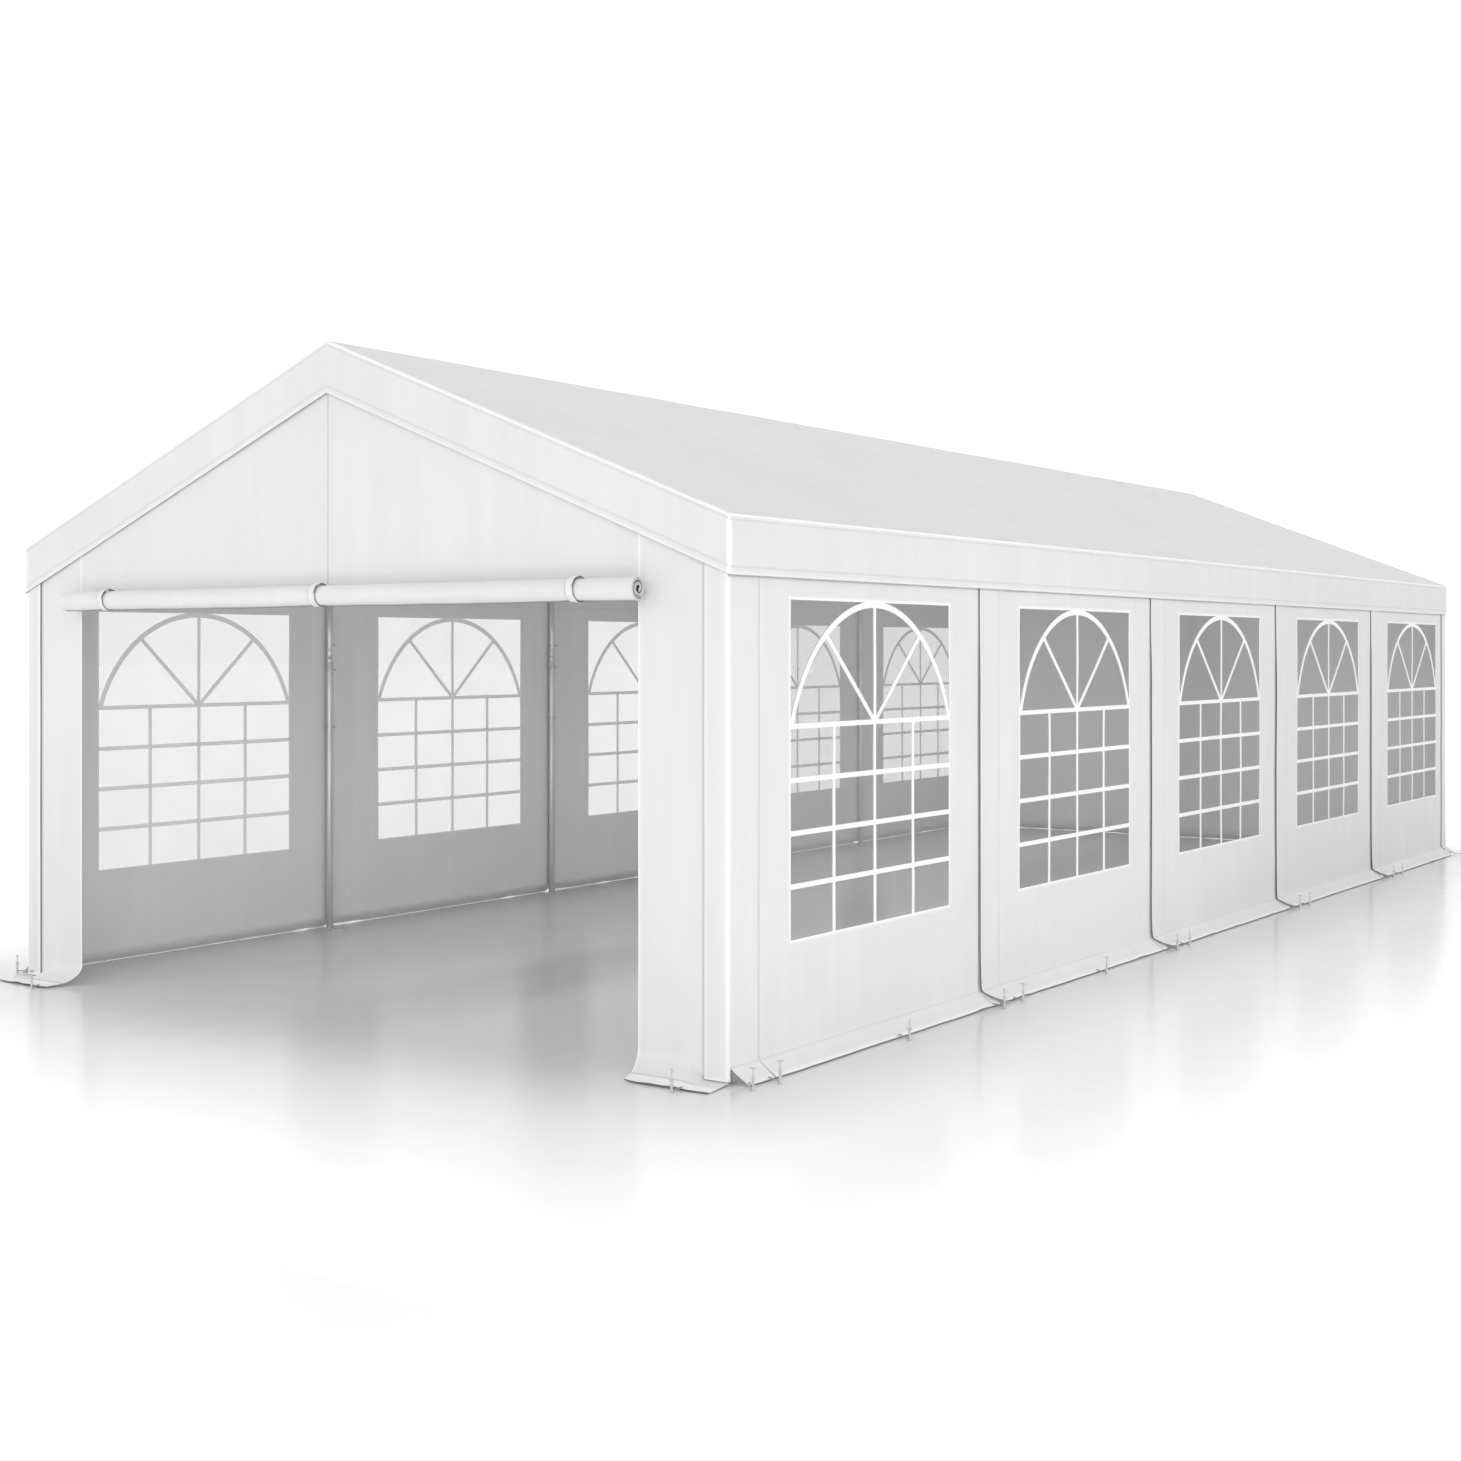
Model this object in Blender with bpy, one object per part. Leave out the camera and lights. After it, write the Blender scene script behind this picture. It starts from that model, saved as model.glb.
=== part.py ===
"""Marquee tent, 4 by 10 m: steel tube frame, gable roof of sheeting, ten windows, rolled-up door.

Metres. X runs across the tent, Y along it with the open gable at -Y, Z up from the ground.
Left is -X and right is +X. Frames are numbered from the open gable to the back.
"""
import math

import bmesh
import bpy
from mathutils import Vector

# Driving sizes of the tent
WIDTH = 4.0
BAY = 2.0
BAYS = 5
EAVES = 2.05
RIDGE_RISE = 0.4
VALANCE = 0.22
CLOTH = 0.004
GAP = 0.0003

# Tubes and the fittings that they plug into
TUBE = 0.019
SLEEVE = 0.0215
BRANCH = 0.021
SLEEVE_REACH = 0.10
SLEEVE_HALF = 0.08
TUBE_SIDES = 12
FOOT_INWARD = 0.075
FOOT_OUTWARD = 0.018
FOOT_HALF = 0.04
FOOT_THICK = 0.005

# Walls: their outer faces, laps and skirts
HALF_WIDTH = WIDTH / 2
HALF_LENGTH = BAY * BAYS / 2
WALL_TOP = 2.03
LAP = 0.06
LAP_STEP = CLOTH + 2 * GAP
CREASE = 0.06
SKIRT_EDGE = 0.0045
SIDE_SKIRT = 0.08
END_SKIRT = 0.17
END_CREASE = 0.08
END_BEND = 0.045
WRAP = 0.105
WRAP_FOOT = 0.024
WRAP_CREASE = 0.014
NOTCH = 0.02
CORNER_RISE = 0.11
CORNER_RUN = 0.10
CORNER_BEND = 0.03

# Windows, measured from the near end of each bay
WINDOW_NEAR = 0.42
WINDOW_FAR = 1.714
WINDOW_SILL = 0.47
WINDOW_HEAD = 1.75
FILM = 0.002

# Doors in the gables, and the front one rolled up
DOOR_HALF = 1.6
DOOR_HEAD = 1.75
ROLL_RADIUS = 0.05
ROLL_HALF = 1.64
ROLL_Z = 1.79
ROLL_SIDES = 24
STRAP = 0.0015
STRAP_WIDTH = 0.03
STRAP_PLACES = (-1.35, 0.0, 1.35)

# Roof cover, whose valances hang just outside the walls
COVER_X = HALF_WIDTH + 0.0095
COVER_Y = HALF_LENGTH + 0.0095
SLOPE = math.atan(RIDGE_RISE)
RIDGE = EAVES + RIDGE_RISE * COVER_X
COVER_DROP = CLOTH / math.cos(SLOPE)
UNDER_RIDGE = RIDGE - COVER_DROP

# Frame lines, worked inward from the cloth that rests on the sleeves
FRAME_INSET = CLOTH + GAP + SLEEVE
FRAME_X = HALF_WIDTH - FRAME_INSET
RIDGE_AXIS = UNDER_RIDGE - (SLEEVE + GAP) / math.cos(SLOPE)
EAVE_AXIS = RIDGE_AXIS - RIDGE_RISE * FRAME_X
END_FRAME_Y = HALF_LENGTH - FRAME_INSET
FRAME_END = HALF_LENGTH - CLOTH - GAP
SIDES = (("left", -1), ("right", 1))


def clear_scene():
    for obj in list(bpy.data.objects):
        bpy.data.objects.remove(obj, do_unlink=True)


def finish(name, colour, roughness, metallic=0.0, alpha=1.0):
    """A plain material with the part's colour, given as linear red, green and blue."""
    material = bpy.data.materials.new(name)
    material.use_nodes = True
    shader = material.node_tree.nodes["Principled BSDF"]
    shader.inputs["Base Color"].default_value = (*colour, 1.0)
    shader.inputs["Roughness"].default_value = roughness
    shader.inputs["Metallic"].default_value = metallic
    shader.inputs["Alpha"].default_value = alpha
    material.diffuse_color = (*colour, alpha)
    return material


def add_object(name, shape, material):
    """A named object from a bmesh, which it uses up."""
    mesh = bpy.data.meshes.new(name)
    shape.to_mesh(mesh)
    shape.free()
    mesh.materials.append(material)
    obj = bpy.data.objects.new(name, mesh)
    bpy.context.scene.collection.objects.link(obj)
    return obj


def add_tube(name, start, end, radius, material, sides=TUBE_SIDES):
    """A round bar between two points that lie along Y or in one upright plane across the tent."""
    start, end = Vector(start), Vector(end)
    run = end - start
    shape = bmesh.new()
    bmesh.ops.create_cone(shape, cap_ends=True, segments=sides, radius1=radius, radius2=radius, depth=run.length)
    obj = add_object(name, shape, material)
    obj.location = (start + end) / 2
    if abs(run.y) > abs(run.x) + abs(run.z):
        obj.rotation_euler = (-math.pi / 2, 0.0, 0.0)
    else:
        obj.rotation_euler = (0.0, math.atan2(run.x, run.z), 0.0)
    obj.data.shade_smooth()
    obj.data.set_sharp_from_angle(angle=math.radians(40))
    return obj


def add_block(name, low, high, material):
    """A box between two opposite corners."""
    low, high = Vector(low), Vector(high)
    shape = bmesh.new()
    bmesh.ops.create_cube(shape, size=1.0)
    bmesh.ops.scale(shape, vec=high - low, verts=shape.verts)
    obj = add_object(name, shape, material)
    obj.location = (low + high) / 2
    return obj


def hide(obj):
    """Marks an object as a helper that isn't a piece of the tent."""
    obj.hide_render = True
    obj.display_type = "WIRE"


def join(obj, helpers):
    """Unions helpers into an object, and hides them."""
    for helper in helpers:
        union = obj.modifiers.new("Union", "BOOLEAN")
        union.operation = "UNION"
        union.solver = "EXACT"
        union.object = helper
        hide(helper)


def add_sheet(name, facets, material, thickness=CLOTH):
    """Cloth from flat facets, given anticlockwise as seen from outside, and thickened inward."""
    shape = bmesh.new()
    for facet in facets:
        shape.faces.new([shape.verts.new(point) for point in facet])
    bmesh.ops.remove_doubles(shape, verts=shape.verts, dist=0.0001)
    obj = add_object(name, shape, material)
    solid = obj.modifiers.new("Solidify", "SOLIDIFY")
    solid.thickness = thickness
    solid.offset = -1.0
    solid.use_even_offset = True
    solid.use_quality_normals = True
    return obj


def turned(facets, across=1, along=1):
    """Facets mirrored to the left side or the rear, still facing outward."""
    moved = [[(x * across, y * along, z) for x, y, z in facet] for facet in facets]
    if across * along < 0:
        moved = [facet[::-1] for facet in moved]
    return moved


def side_profile(lean):
    """Skirt and upright wall as (distance from the centre, height), lifted by lean off the layer below."""
    slant = math.atan2(CREASE - SKIRT_EDGE, SIDE_SKIRT)
    normal_out, normal_up = math.sin(slant), math.cos(slant)
    crease_up = normal_up / (1 + normal_out)
    edge = (HALF_WIDTH + SIDE_SKIRT + lean * normal_out, SKIRT_EDGE + lean * normal_up)
    crease = (HALF_WIDTH + lean, CREASE + lean * crease_up)
    upright = [(HALF_WIDTH + lean, z) for z in (CORNER_RISE, WINDOW_SILL, WINDOW_HEAD, WALL_TOP)]
    return [edge, crease, *upright]


def frame_places():
    """Y of each frame: the two end frames stand just inside the gables."""
    inner = [-HALF_LENGTH + BAY * bay for bay in range(1, BAYS)]
    return [-END_FRAME_Y, *inner, END_FRAME_Y]


def sleeve_ends(y):
    """Near and far end of the sleeve along a beam at one frame, cut short at the gables."""
    return max(y - SLEEVE_HALF, -FRAME_END), min(y + SLEEVE_HALF, FRAME_END)


def slope_point(x, y, way, distance):
    """A point on a rafter's line, a distance down (+) or up (-) the slope from where it crosses x."""
    height = RIDGE_AXIS - RIDGE_RISE * abs(x)
    return (x + way * distance * math.cos(SLOPE), y, height - distance * math.sin(SLOPE))


def make_frame(steel):
    """Posts on foot plates, eave and ridge beams with their fittings, and rafters."""
    for index, y in enumerate(frame_places(), start=1):
        for side, way in SIDES:
            make_post(f"post_{side}_{index}", way, y, steel)
            top = slope_point(0.0, y, way, SLEEVE_REACH + GAP)
            low = slope_point(way * FRAME_X, y, way, -SLEEVE_REACH - GAP)
            add_tube(f"rafter_{side}_{index}", top, low, TUBE, steel)
    for side, way in SIDES:
        make_eave_beam(f"eave_beam_{side}", way, steel)
    make_ridge_beam(steel)


def make_post(name, way, y, steel):
    top = EAVE_AXIS - SLEEVE_REACH - GAP
    post = add_tube(name, (way * FRAME_X, y, 0.0), (way * FRAME_X, y, top), TUBE, steel)
    near = FOOT_OUTWARD if y < -HALF_LENGTH + BAY / 2 else FOOT_HALF
    far = FOOT_OUTWARD if y > HALF_LENGTH - BAY / 2 else FOOT_HALF
    xs = sorted((way * (FRAME_X - FOOT_INWARD), way * (FRAME_X + FOOT_OUTWARD)))
    foot = add_block(name + "_foot", (xs[0], y - near, 0.0), (xs[1], y + far, FOOT_THICK), steel)
    join(post, [foot])


def make_eave_beam(name, way, steel):
    x = way * FRAME_X
    beam = add_tube(name, (x, -END_FRAME_Y, EAVE_AXIS), (x, END_FRAME_Y, EAVE_AXIS), TUBE, steel)
    sleeves = []
    for y in frame_places():
        near, far = sleeve_ends(y)
        sleeves.append(add_tube("sleeve_along", (x, near, EAVE_AXIS), (x, far, EAVE_AXIS), SLEEVE, steel))
        down = (x, y, EAVE_AXIS - SLEEVE_REACH)
        sleeves.append(add_tube("sleeve_down", down, (x, y, EAVE_AXIS), BRANCH, steel))
        up = slope_point(x, y, way, -SLEEVE_REACH)
        sleeves.append(add_tube("sleeve_up", (x, y, EAVE_AXIS), up, BRANCH, steel))
    join(beam, sleeves)


def make_ridge_beam(steel):
    beam = add_tube("ridge_beam", (0.0, -END_FRAME_Y, RIDGE_AXIS), (0.0, END_FRAME_Y, RIDGE_AXIS), TUBE, steel)
    sleeves = []
    for y in frame_places():
        near, far = sleeve_ends(y)
        sleeves.append(add_tube("sleeve_along", (0.0, near, RIDGE_AXIS), (0.0, far, RIDGE_AXIS), SLEEVE, steel))
        for _side, way in SIDES:
            down = slope_point(0.0, y, way, SLEEVE_REACH)
            sleeves.append(add_tube("sleeve_down", (0.0, y, RIDGE_AXIS), down, BRANCH, steel))
    join(beam, sleeves)


def cover_points(inset):
    """Corners of the roof cover as a lid: outer ones at inset 0, inner ones at the cloth's thickness."""
    x, y = COVER_X - inset, COVER_Y - inset
    ridge = RIDGE - inset / math.cos(SLOPE)
    eaves = ridge - RIDGE_RISE * x
    corners = {}
    for end, along in (("front", -1), ("rear", 1)):
        for side, across in SIDES:
            corners[end, side, "eaves"] = (across * x, along * y, eaves)
            corners[end, side, "hem"] = (across * x, along * y, EAVES - VALANCE)
        corners[end, "ridge"] = (0.0, along * y, ridge)
        corners[end, "ridge_hem"] = (0.0, along * y, RIDGE - VALANCE)
    return corners


COVER_FACES = (
    (("front", "ridge"), ("front", "right", "eaves"), ("rear", "right", "eaves"), ("rear", "ridge")),
    (("front", "left", "eaves"), ("front", "ridge"), ("rear", "ridge"), ("rear", "left", "eaves")),
    (("front", "right", "hem"), ("rear", "right", "hem"), ("rear", "right", "eaves"), ("front", "right", "eaves")),
    (("rear", "left", "hem"), ("front", "left", "hem"), ("front", "left", "eaves"), ("rear", "left", "eaves")),
    (("front", "ridge_hem"), ("front", "right", "hem"), ("front", "right", "eaves"), ("front", "ridge")),
    (("front", "left", "hem"), ("front", "ridge_hem"), ("front", "ridge"), ("front", "left", "eaves")),
    (("rear", "right", "hem"), ("rear", "ridge_hem"), ("rear", "ridge"), ("rear", "right", "eaves")),
    (("rear", "ridge_hem"), ("rear", "left", "hem"), ("rear", "left", "eaves"), ("rear", "ridge")),
)
COVER_HEM = (
    ("front", "left", "hem"),
    ("front", "ridge_hem"),
    ("front", "right", "hem"),
    ("rear", "right", "hem"),
    ("rear", "ridge_hem"),
    ("rear", "left", "hem"),
)


def make_roof_cover(cloth):
    """One sewn cover: two slopes with a valance along each eave and each gable."""
    shape = bmesh.new()
    outer = {key: shape.verts.new(point) for key, point in cover_points(0.0).items()}
    inner = {key: shape.verts.new(point) for key, point in cover_points(CLOTH).items()}
    for corners in COVER_FACES:
        shape.faces.new([outer[key] for key in corners])
        shape.faces.new([inner[key] for key in reversed(corners)])
    for here, following in zip(COVER_HEM, COVER_HEM[1:] + COVER_HEM[:1]):
        shape.faces.new([outer[following], outer[here], inner[here], inner[following]])
    add_object("roof_cover", shape, cloth)


def panel_span(bay):
    """Near and far edge of one side panel: the near one lies over the panel before, the far one under the next."""
    start = -HALF_LENGTH + BAY * bay
    near = start if bay else start + NOTCH
    far = start + BAY + LAP if bay < BAYS - 1 else HALF_LENGTH - NOTCH
    return near, far


def panel_lean(bay, y):
    """How far out a panel stands at y to clear the panel that it laps over."""
    if bay == 0:
        return 0.0
    near, far = panel_span(bay)
    return LAP_STEP * (far - y) / (far - near)


def panel_column(bay, y, run_in=(0.0,) * 6):
    """Points of a panel from skirt edge to top at one place along it, each moved on by its run_in."""
    return [(x, y + shift, z) for (x, z), shift in zip(side_profile(panel_lean(bay, y)), run_in)]


def wrap_columns(along):
    """The corner of an end panel and its return on the gable, which have no skirt: foot to top."""
    end = along * (HALF_LENGTH + LAP_STEP)
    heights = (WRAP_FOOT, CORNER_RISE, WINDOW_SILL, WINDOW_HEAD, WALL_TOP)
    corner = [None] + [(HALF_WIDTH, end, z) for z in heights]
    edge = [None] + [(HALF_WIDTH - WRAP, end, z) for z in heights]
    return corner, edge


def panel_facets(bay):
    """Facets of one panel on the right side, with its window left open."""
    near, far = panel_span(bay)
    start = -HALF_LENGTH + BAY * bay
    rounded = (CORNER_RUN, CORNER_BEND, 0.0, 0.0, 0.0, 0.0)
    columns = [panel_column(bay, near, rounded) if bay else panel_column(bay, near)]
    window_column = len(columns)
    columns += [panel_column(bay, start + WINDOW_NEAR), panel_column(bay, start + WINDOW_FAR)]
    columns.append(panel_column(bay, far))
    if bay == 0:
        corner, edge = wrap_columns(-1)
        columns = [edge, corner, *columns]
        window_column += 2
    if bay == BAYS - 1:
        columns += wrap_columns(1)
    facets = []
    for place, (here, there) in enumerate(zip(columns, columns[1:])):
        for row in range(len(here) - 1):
            open_window = place == window_column and row == 3
            if open_window or here[row] is None or there[row] is None:
                continue
            facets.append([here[row], there[row], there[row + 1], here[row + 1]])
    return facets


def pane_facets(bay):
    """One window film on the right side, in the middle of its panel's thickness."""
    start = -HALF_LENGTH + BAY * bay
    near, far = start + WINDOW_NEAR + GAP, start + WINDOW_FAR - GAP
    low, high = WINDOW_SILL + GAP, WINDOW_HEAD - GAP
    corners = ((near, low), (far, low), (far, high), (near, high))
    inset = (CLOTH - FILM) / 2
    return [[(HALF_WIDTH + panel_lean(bay, y) - inset, y, z) for y, z in corners]]


def make_sides(cloth, film):
    """Ten wall panels that lean out towards their near edges, and the film in their windows."""
    for side, way in SIDES:
        for bay in range(BAYS):
            add_sheet(f"side_panel_{side}_{bay + 1}", turned(panel_facets(bay), across=way), cloth)
            pane = turned(pane_facets(bay), across=way)
            add_sheet(f"window_film_{side}_{bay + 1}", pane, film, thickness=FILM)


def under_cover(x):
    """Height of a gable wall's top edge at x, just under the roof cover."""
    return UNDER_RIDGE - GAP - RIDGE_RISE * abs(x)


def end_column(x, crease, top):
    """Points of a gable wall from skirt edge to top at one place across it."""
    end = -HALF_LENGTH
    bend = SKIRT_EDGE + (crease - SKIRT_EDGE) / 4
    return [(x, end - END_SKIRT, SKIRT_EDGE), (x, end - END_BEND, bend), (x, end, crease), (x, end, top)]


def strip_facets(columns):
    """Facets between neighbouring columns of points, given from left to right."""
    facets = []
    for here, there in zip(columns, columns[1:]):
        for row in range(len(here) - 1):
            facets.append([here[row], there[row], there[row + 1], here[row + 1]])
    return facets


def gable_wall_facets():
    """Wall beside a doorway. Its skirt creases lower where the side panel wraps over it."""
    edge = HALF_WIDTH - CLOTH - GAP
    creases = ((DOOR_HALF, END_CREASE), (edge - WRAP, WRAP_CREASE), (edge, WRAP_CREASE))
    return strip_facets([end_column(x, crease, under_cover(x)) for x, crease in creases])


def door_facets():
    """A door let down and zipped shut, with its skirt on the ground."""
    half = DOOR_HALF - GAP
    return strip_facets([end_column(x, END_CREASE, DOOR_HEAD - GAP) for x in (-half, half)])


def gable_facets():
    """Cloth over a doorway, up to the ridge."""
    half = DOOR_HALF - GAP
    end = -HALF_LENGTH
    return [
        [
            (-half, end, DOOR_HEAD),
            (half, end, DOOR_HEAD),
            (half, end, under_cover(half)),
            (0.0, end, under_cover(0.0)),
            (-half, end, under_cover(half)),
        ]
    ]


def make_gable_walls(cloth):
    """Both gable ends, open in front and closed by a door at the back."""
    for side, way in SIDES:
        add_sheet(f"front_wall_{side}", turned(gable_wall_facets(), across=way), cloth)
        add_sheet(f"rear_wall_{side}", turned(gable_wall_facets(), across=way, along=-1), cloth)
    add_sheet("front_gable", gable_facets(), cloth)
    add_sheet("rear_gable", turned(gable_facets(), along=-1), cloth)
    add_sheet("rear_door", turned(door_facets(), along=-1), cloth)


def make_door_roll(cloth, webbing):
    """The front door rolled up under the gable, and the three straps that hold the roll."""
    roll_y = -HALF_LENGTH - 2 * GAP - STRAP - ROLL_RADIUS
    roll = add_tube("front_door_roll", (-1.0, 0.0, 0.0), (1.0, 0.0, 0.0), ROLL_RADIUS, cloth, sides=ROLL_SIDES)
    roll.scale = (1.0, 1.0, ROLL_HALF)
    roll.location = (0.0, roll_y, ROLL_Z)
    for index, x in enumerate(STRAP_PLACES, start=1):
        make_strap(f"roll_strap_{index}", x, roll_y, webbing)


def make_strap(name, x, roll_y, webbing):
    """A loop of webbing round the roll."""
    shape = bmesh.new()
    rings = []
    inner, outer = ROLL_RADIUS + GAP, ROLL_RADIUS + GAP + STRAP
    for place in (-STRAP_WIDTH / 2, STRAP_WIDTH / 2):
        for radius in (inner, outer):
            ring = []
            for step in range(ROLL_SIDES):
                angle = 2 * math.pi * step / ROLL_SIDES
                ring.append(shape.verts.new((place, radius * math.cos(angle), radius * math.sin(angle))))
            rings.append(ring)
    near_inner, near_outer, far_inner, far_outer = rings
    for step in range(ROLL_SIDES):
        after = (step + 1) % ROLL_SIDES
        shape.faces.new([near_outer[step], near_outer[after], far_outer[after], far_outer[step]])
        shape.faces.new([near_inner[after], near_inner[step], far_inner[step], far_inner[after]])
        shape.faces.new([near_inner[step], near_inner[after], near_outer[after], near_outer[step]])
        shape.faces.new([far_outer[step], far_outer[after], far_inner[after], far_inner[step]])
    bmesh.ops.recalc_face_normals(shape, faces=shape.faces)
    strap = add_object(name, shape, webbing)
    strap.location = (x, roll_y, ROLL_Z)


def main():
    clear_scene()
    steel = finish("galvanised_steel", (0.48, 0.49, 0.50), 0.42, metallic=1.0)
    cloth = finish("white_tarpaulin", (0.86, 0.86, 0.86), 0.55)
    film = finish("clear_film", (0.72, 0.74, 0.75), 0.12, alpha=0.35)
    webbing = finish("white_webbing", (0.80, 0.80, 0.80), 0.80)
    make_frame(steel)
    make_roof_cover(cloth)
    make_sides(cloth, film)
    make_gable_walls(cloth)
    make_door_roll(cloth, webbing)


main()
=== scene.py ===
"""Marquee tent, 4 by 10 m: sewn tarpaulin, arched windows, rolled-up door, steel tubes and ground pegs.

Metres. X runs across the tent, Y along it with the open gable at -Y, Z up from the ground.
"""
import math

import bmesh
import bpy
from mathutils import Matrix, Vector, noise


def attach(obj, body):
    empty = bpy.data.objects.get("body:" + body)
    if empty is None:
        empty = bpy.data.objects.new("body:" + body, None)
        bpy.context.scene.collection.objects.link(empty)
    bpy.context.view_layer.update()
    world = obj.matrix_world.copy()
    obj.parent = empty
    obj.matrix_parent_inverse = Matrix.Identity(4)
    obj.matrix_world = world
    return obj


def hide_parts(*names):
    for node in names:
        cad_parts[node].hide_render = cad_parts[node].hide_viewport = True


bl_info = {
    "name": "Marquee tent, 4 by 10 m",
    "version": (1, 0, 0),
    "blender": (4, 5, 0),
    "location": "3D View > Sidebar > Tent",
    "description": "Dresses the packed marquee tent with cloth, windows, fittings and pegs",
    "category": "Object",
}

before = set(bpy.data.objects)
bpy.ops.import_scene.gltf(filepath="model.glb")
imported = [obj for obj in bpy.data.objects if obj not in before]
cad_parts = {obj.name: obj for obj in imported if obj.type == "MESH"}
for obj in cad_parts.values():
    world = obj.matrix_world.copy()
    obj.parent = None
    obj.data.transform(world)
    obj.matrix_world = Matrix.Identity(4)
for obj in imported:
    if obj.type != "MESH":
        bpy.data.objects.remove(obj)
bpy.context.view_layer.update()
BODY = "root"

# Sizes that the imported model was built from
HALF_WIDTH = 2.0
HALF_LENGTH = 5.0
BAY = 2.0
BAYS = 5
EAVES = 2.05
RIDGE_RISE = 0.4
VALANCE = 0.22
COVER_X = 2.0095
COVER_Y = 5.0095
RIDGE = EAVES + RIDGE_RISE * COVER_X
SLOPE = math.atan(RIDGE_RISE)
COVER_GAP = 0.0043
WALL_TOP = 2.03
LAP = 0.06
LAP_STEP = 0.0046
SIDE_SKIRT = 0.08
END_SKIRT = 0.17
SKIRT_EDGE = 0.0045
WRAP = 0.105
WRAP_FOOT = 0.010
NOTCH = 0.02
WINDOW = (0.42, 1.714, 0.47, 1.75)
DOOR_HALF = 1.6
DOOR_HEAD = 1.75
ROLL_Y = -5.0521
ROLL_Z = 1.79
ROLL_RADIUS = 0.0495
ROLL_HALF = 1.638
STRAPS = (-1.35, 0.0, 1.35)
TUBE = 0.019
SLEEVE = 0.0215
SLEEVE_REACH = 0.10
SLEEVE_HALF = 0.08
FRAME_X = 1.9742
EAVE_AXIS = 2.0363
RIDGE_AXIS = EAVE_AXIS + RIDGE_RISE * FRAME_X
FRAME_YS = (-4.9742, -3.0, -1.0, 1.0, 3.0, 4.9742)
FRAME_END = 4.9955
SIDES = (("left", -1), ("right", 1))

# The camera, worked out for a frame of 1461 by 1461 pixels
FRAME_PIXELS = 1461
FOCAL_PIXELS = 1972.8
CENTRE_PIXEL = (620.0, 650.1)
CAMERA_PLACE = (5.8723, -10.916, 1.5602)
CAMERA_YAW = math.radians(36.3704)
SENSOR = 36.0


def linear(code):
    """Linear red, green and blue from an sRGB colour written as #rrggbb."""
    parts = [int(code[place:place + 2], 16) / 255 for place in (1, 3, 5)]
    return tuple(part / 12.92 if part <= 0.04045 else ((part + 0.055) / 1.055) ** 2.4 for part in parts)


def colour_choice(name, code, description):
    return bpy.props.FloatVectorProperty(
        name=name, description=description, default=linear(code), subtype="COLOR", size=3, min=0.0, max=1.0
    )


def length_choice(name, size, description):
    return bpy.props.FloatProperty(name=name, description=description, default=size, min=0.0, unit="LENGTH")


class TentSizes(bpy.types.PropertyGroup):
    """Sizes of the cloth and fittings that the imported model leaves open."""

    cloth: length_choice("Cloth", 0.0025, "Thickness that the tarpaulin is drawn with")
    sag: length_choice("Roof sag", 0.010, "How far the roof hangs between two frames")
    ripple: length_choice("Ripple", 0.0016, "Height of the slow waves in a wall")
    skirt_ripple: length_choice("Skirt ripple", 0.005, "Height of the waves along a skirt's edge")
    hem: length_choice("Hem", 0.035, "Width of the doubled cloth along an edge")
    hem_rise: length_choice("Hem rise", 0.0009, "How far doubled cloth stands proud")
    seam_depth: length_choice("Seam depth", 0.0012, "Depth of the welded line along a seam")
    lap_lift: length_choice("Lap lift", 0.004, "How far a panel's free edge curls outward")
    bar_width: length_choice("Window bar", 0.020, "Width of the strips across a window")
    arch_width: length_choice("Window arch", 0.025, "Width of the arched strip")
    piping: length_choice("Piping", 0.006, "Radius of the piping along the cover's edges")
    peg_height: length_choice("Peg height", 0.082, "Height of a ground peg above the ground")
    peg_radius: length_choice("Peg radius", 0.0035, "Radius of a ground peg's pin")


class TentColours(bpy.types.PropertyGroup):
    """Colours of the tent's materials."""

    cloth: colour_choice("Tarpaulin", "#e7e6e6", "Outside of the roof and walls")
    film: colour_choice("Window film", "#a8a7a7", "Haze of the clear window film")
    # The strip colour is also painted onto the cloth as highlights along hems, edges, folds and the roll's cut ends
    strip: colour_choice("Smooth strips", "#f8f8f8", "Strips welded across the windows, piping and hems")
    webbing: colour_choice("Webbing", "#efefef", "Straps round the rolled door")
    steel: colour_choice("Galvanised steel", "#e6e7e7", "Tubes and fittings")
    zinc: colour_choice("Zinc plate", "#e2e4e5", "Screws, pegs and eyelets")
    elastic: colour_choice("Elastic", "#a9a9a9", "Loops that hold the skirts to the pegs")
    floor: colour_choice("Floor", "#f8f8f8", "The studio floor")


def sizes():
    return bpy.context.scene.tent_sizes


def colours():
    return bpy.context.scene.tent_colours


# Materials


def add_node(tree, kind, inputs=None, **settings):
    """Adds a node. inputs gives, by name or number, each input's value or the socket that feeds it."""
    made = tree.nodes.new(kind)
    for key, value in settings.items():
        setattr(made, key, value)
    for key, value in (inputs or {}).items():
        if isinstance(value, bpy.types.NodeSocket):
            tree.links.new(value, made.inputs[key])
        else:
            made.inputs[key].default_value = value
    return made


def new_finish(name):
    """A material with only a Principled shader: the material, its nodes and the shader."""
    material = bpy.data.materials.new(name)
    material.use_nodes = True
    tree = material.node_tree
    return material, tree, tree.nodes["Principled BSDF"]


def opaque(colour):
    return (*colour, 1.0)


def shade(colour, share):
    """A colour made darker by a share of itself."""
    return (*(part * share for part in colour), 1.0)


def get_finish(name, make):
    """The named material, made on its first use."""
    return bpy.data.materials.get(name) or make(name)


# A wave texture repeats after pi / 10 units at scale 1
WAVE_PERIOD = math.pi / 10


def lined_colour(tree, base, colour):
    """A cloth colour with its drawn lines: dark where "seam" is above 0, for weld lines and painted shadow, and the
    strip's colour as a painted highlight where it is below.
    """
    seam = add_node(tree, "ShaderNodeAttribute", attribute_name="seam").outputs["Fac"]
    dark = add_node(tree, "ShaderNodeMix", {"Factor": seam, 6: base, 7: shade(colour, 0.15)}, data_type="RGBA")
    turned = add_node(tree, "ShaderNodeMath", {0: seam, 1: -1.0}, operation="MULTIPLY").outputs[0]
    return add_node(
        tree, "ShaderNodeMix", {"Factor": turned, 6: dark.outputs[2], 7: opaque(colours().strip)}, data_type="RGBA"
    ).outputs[2]


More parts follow.
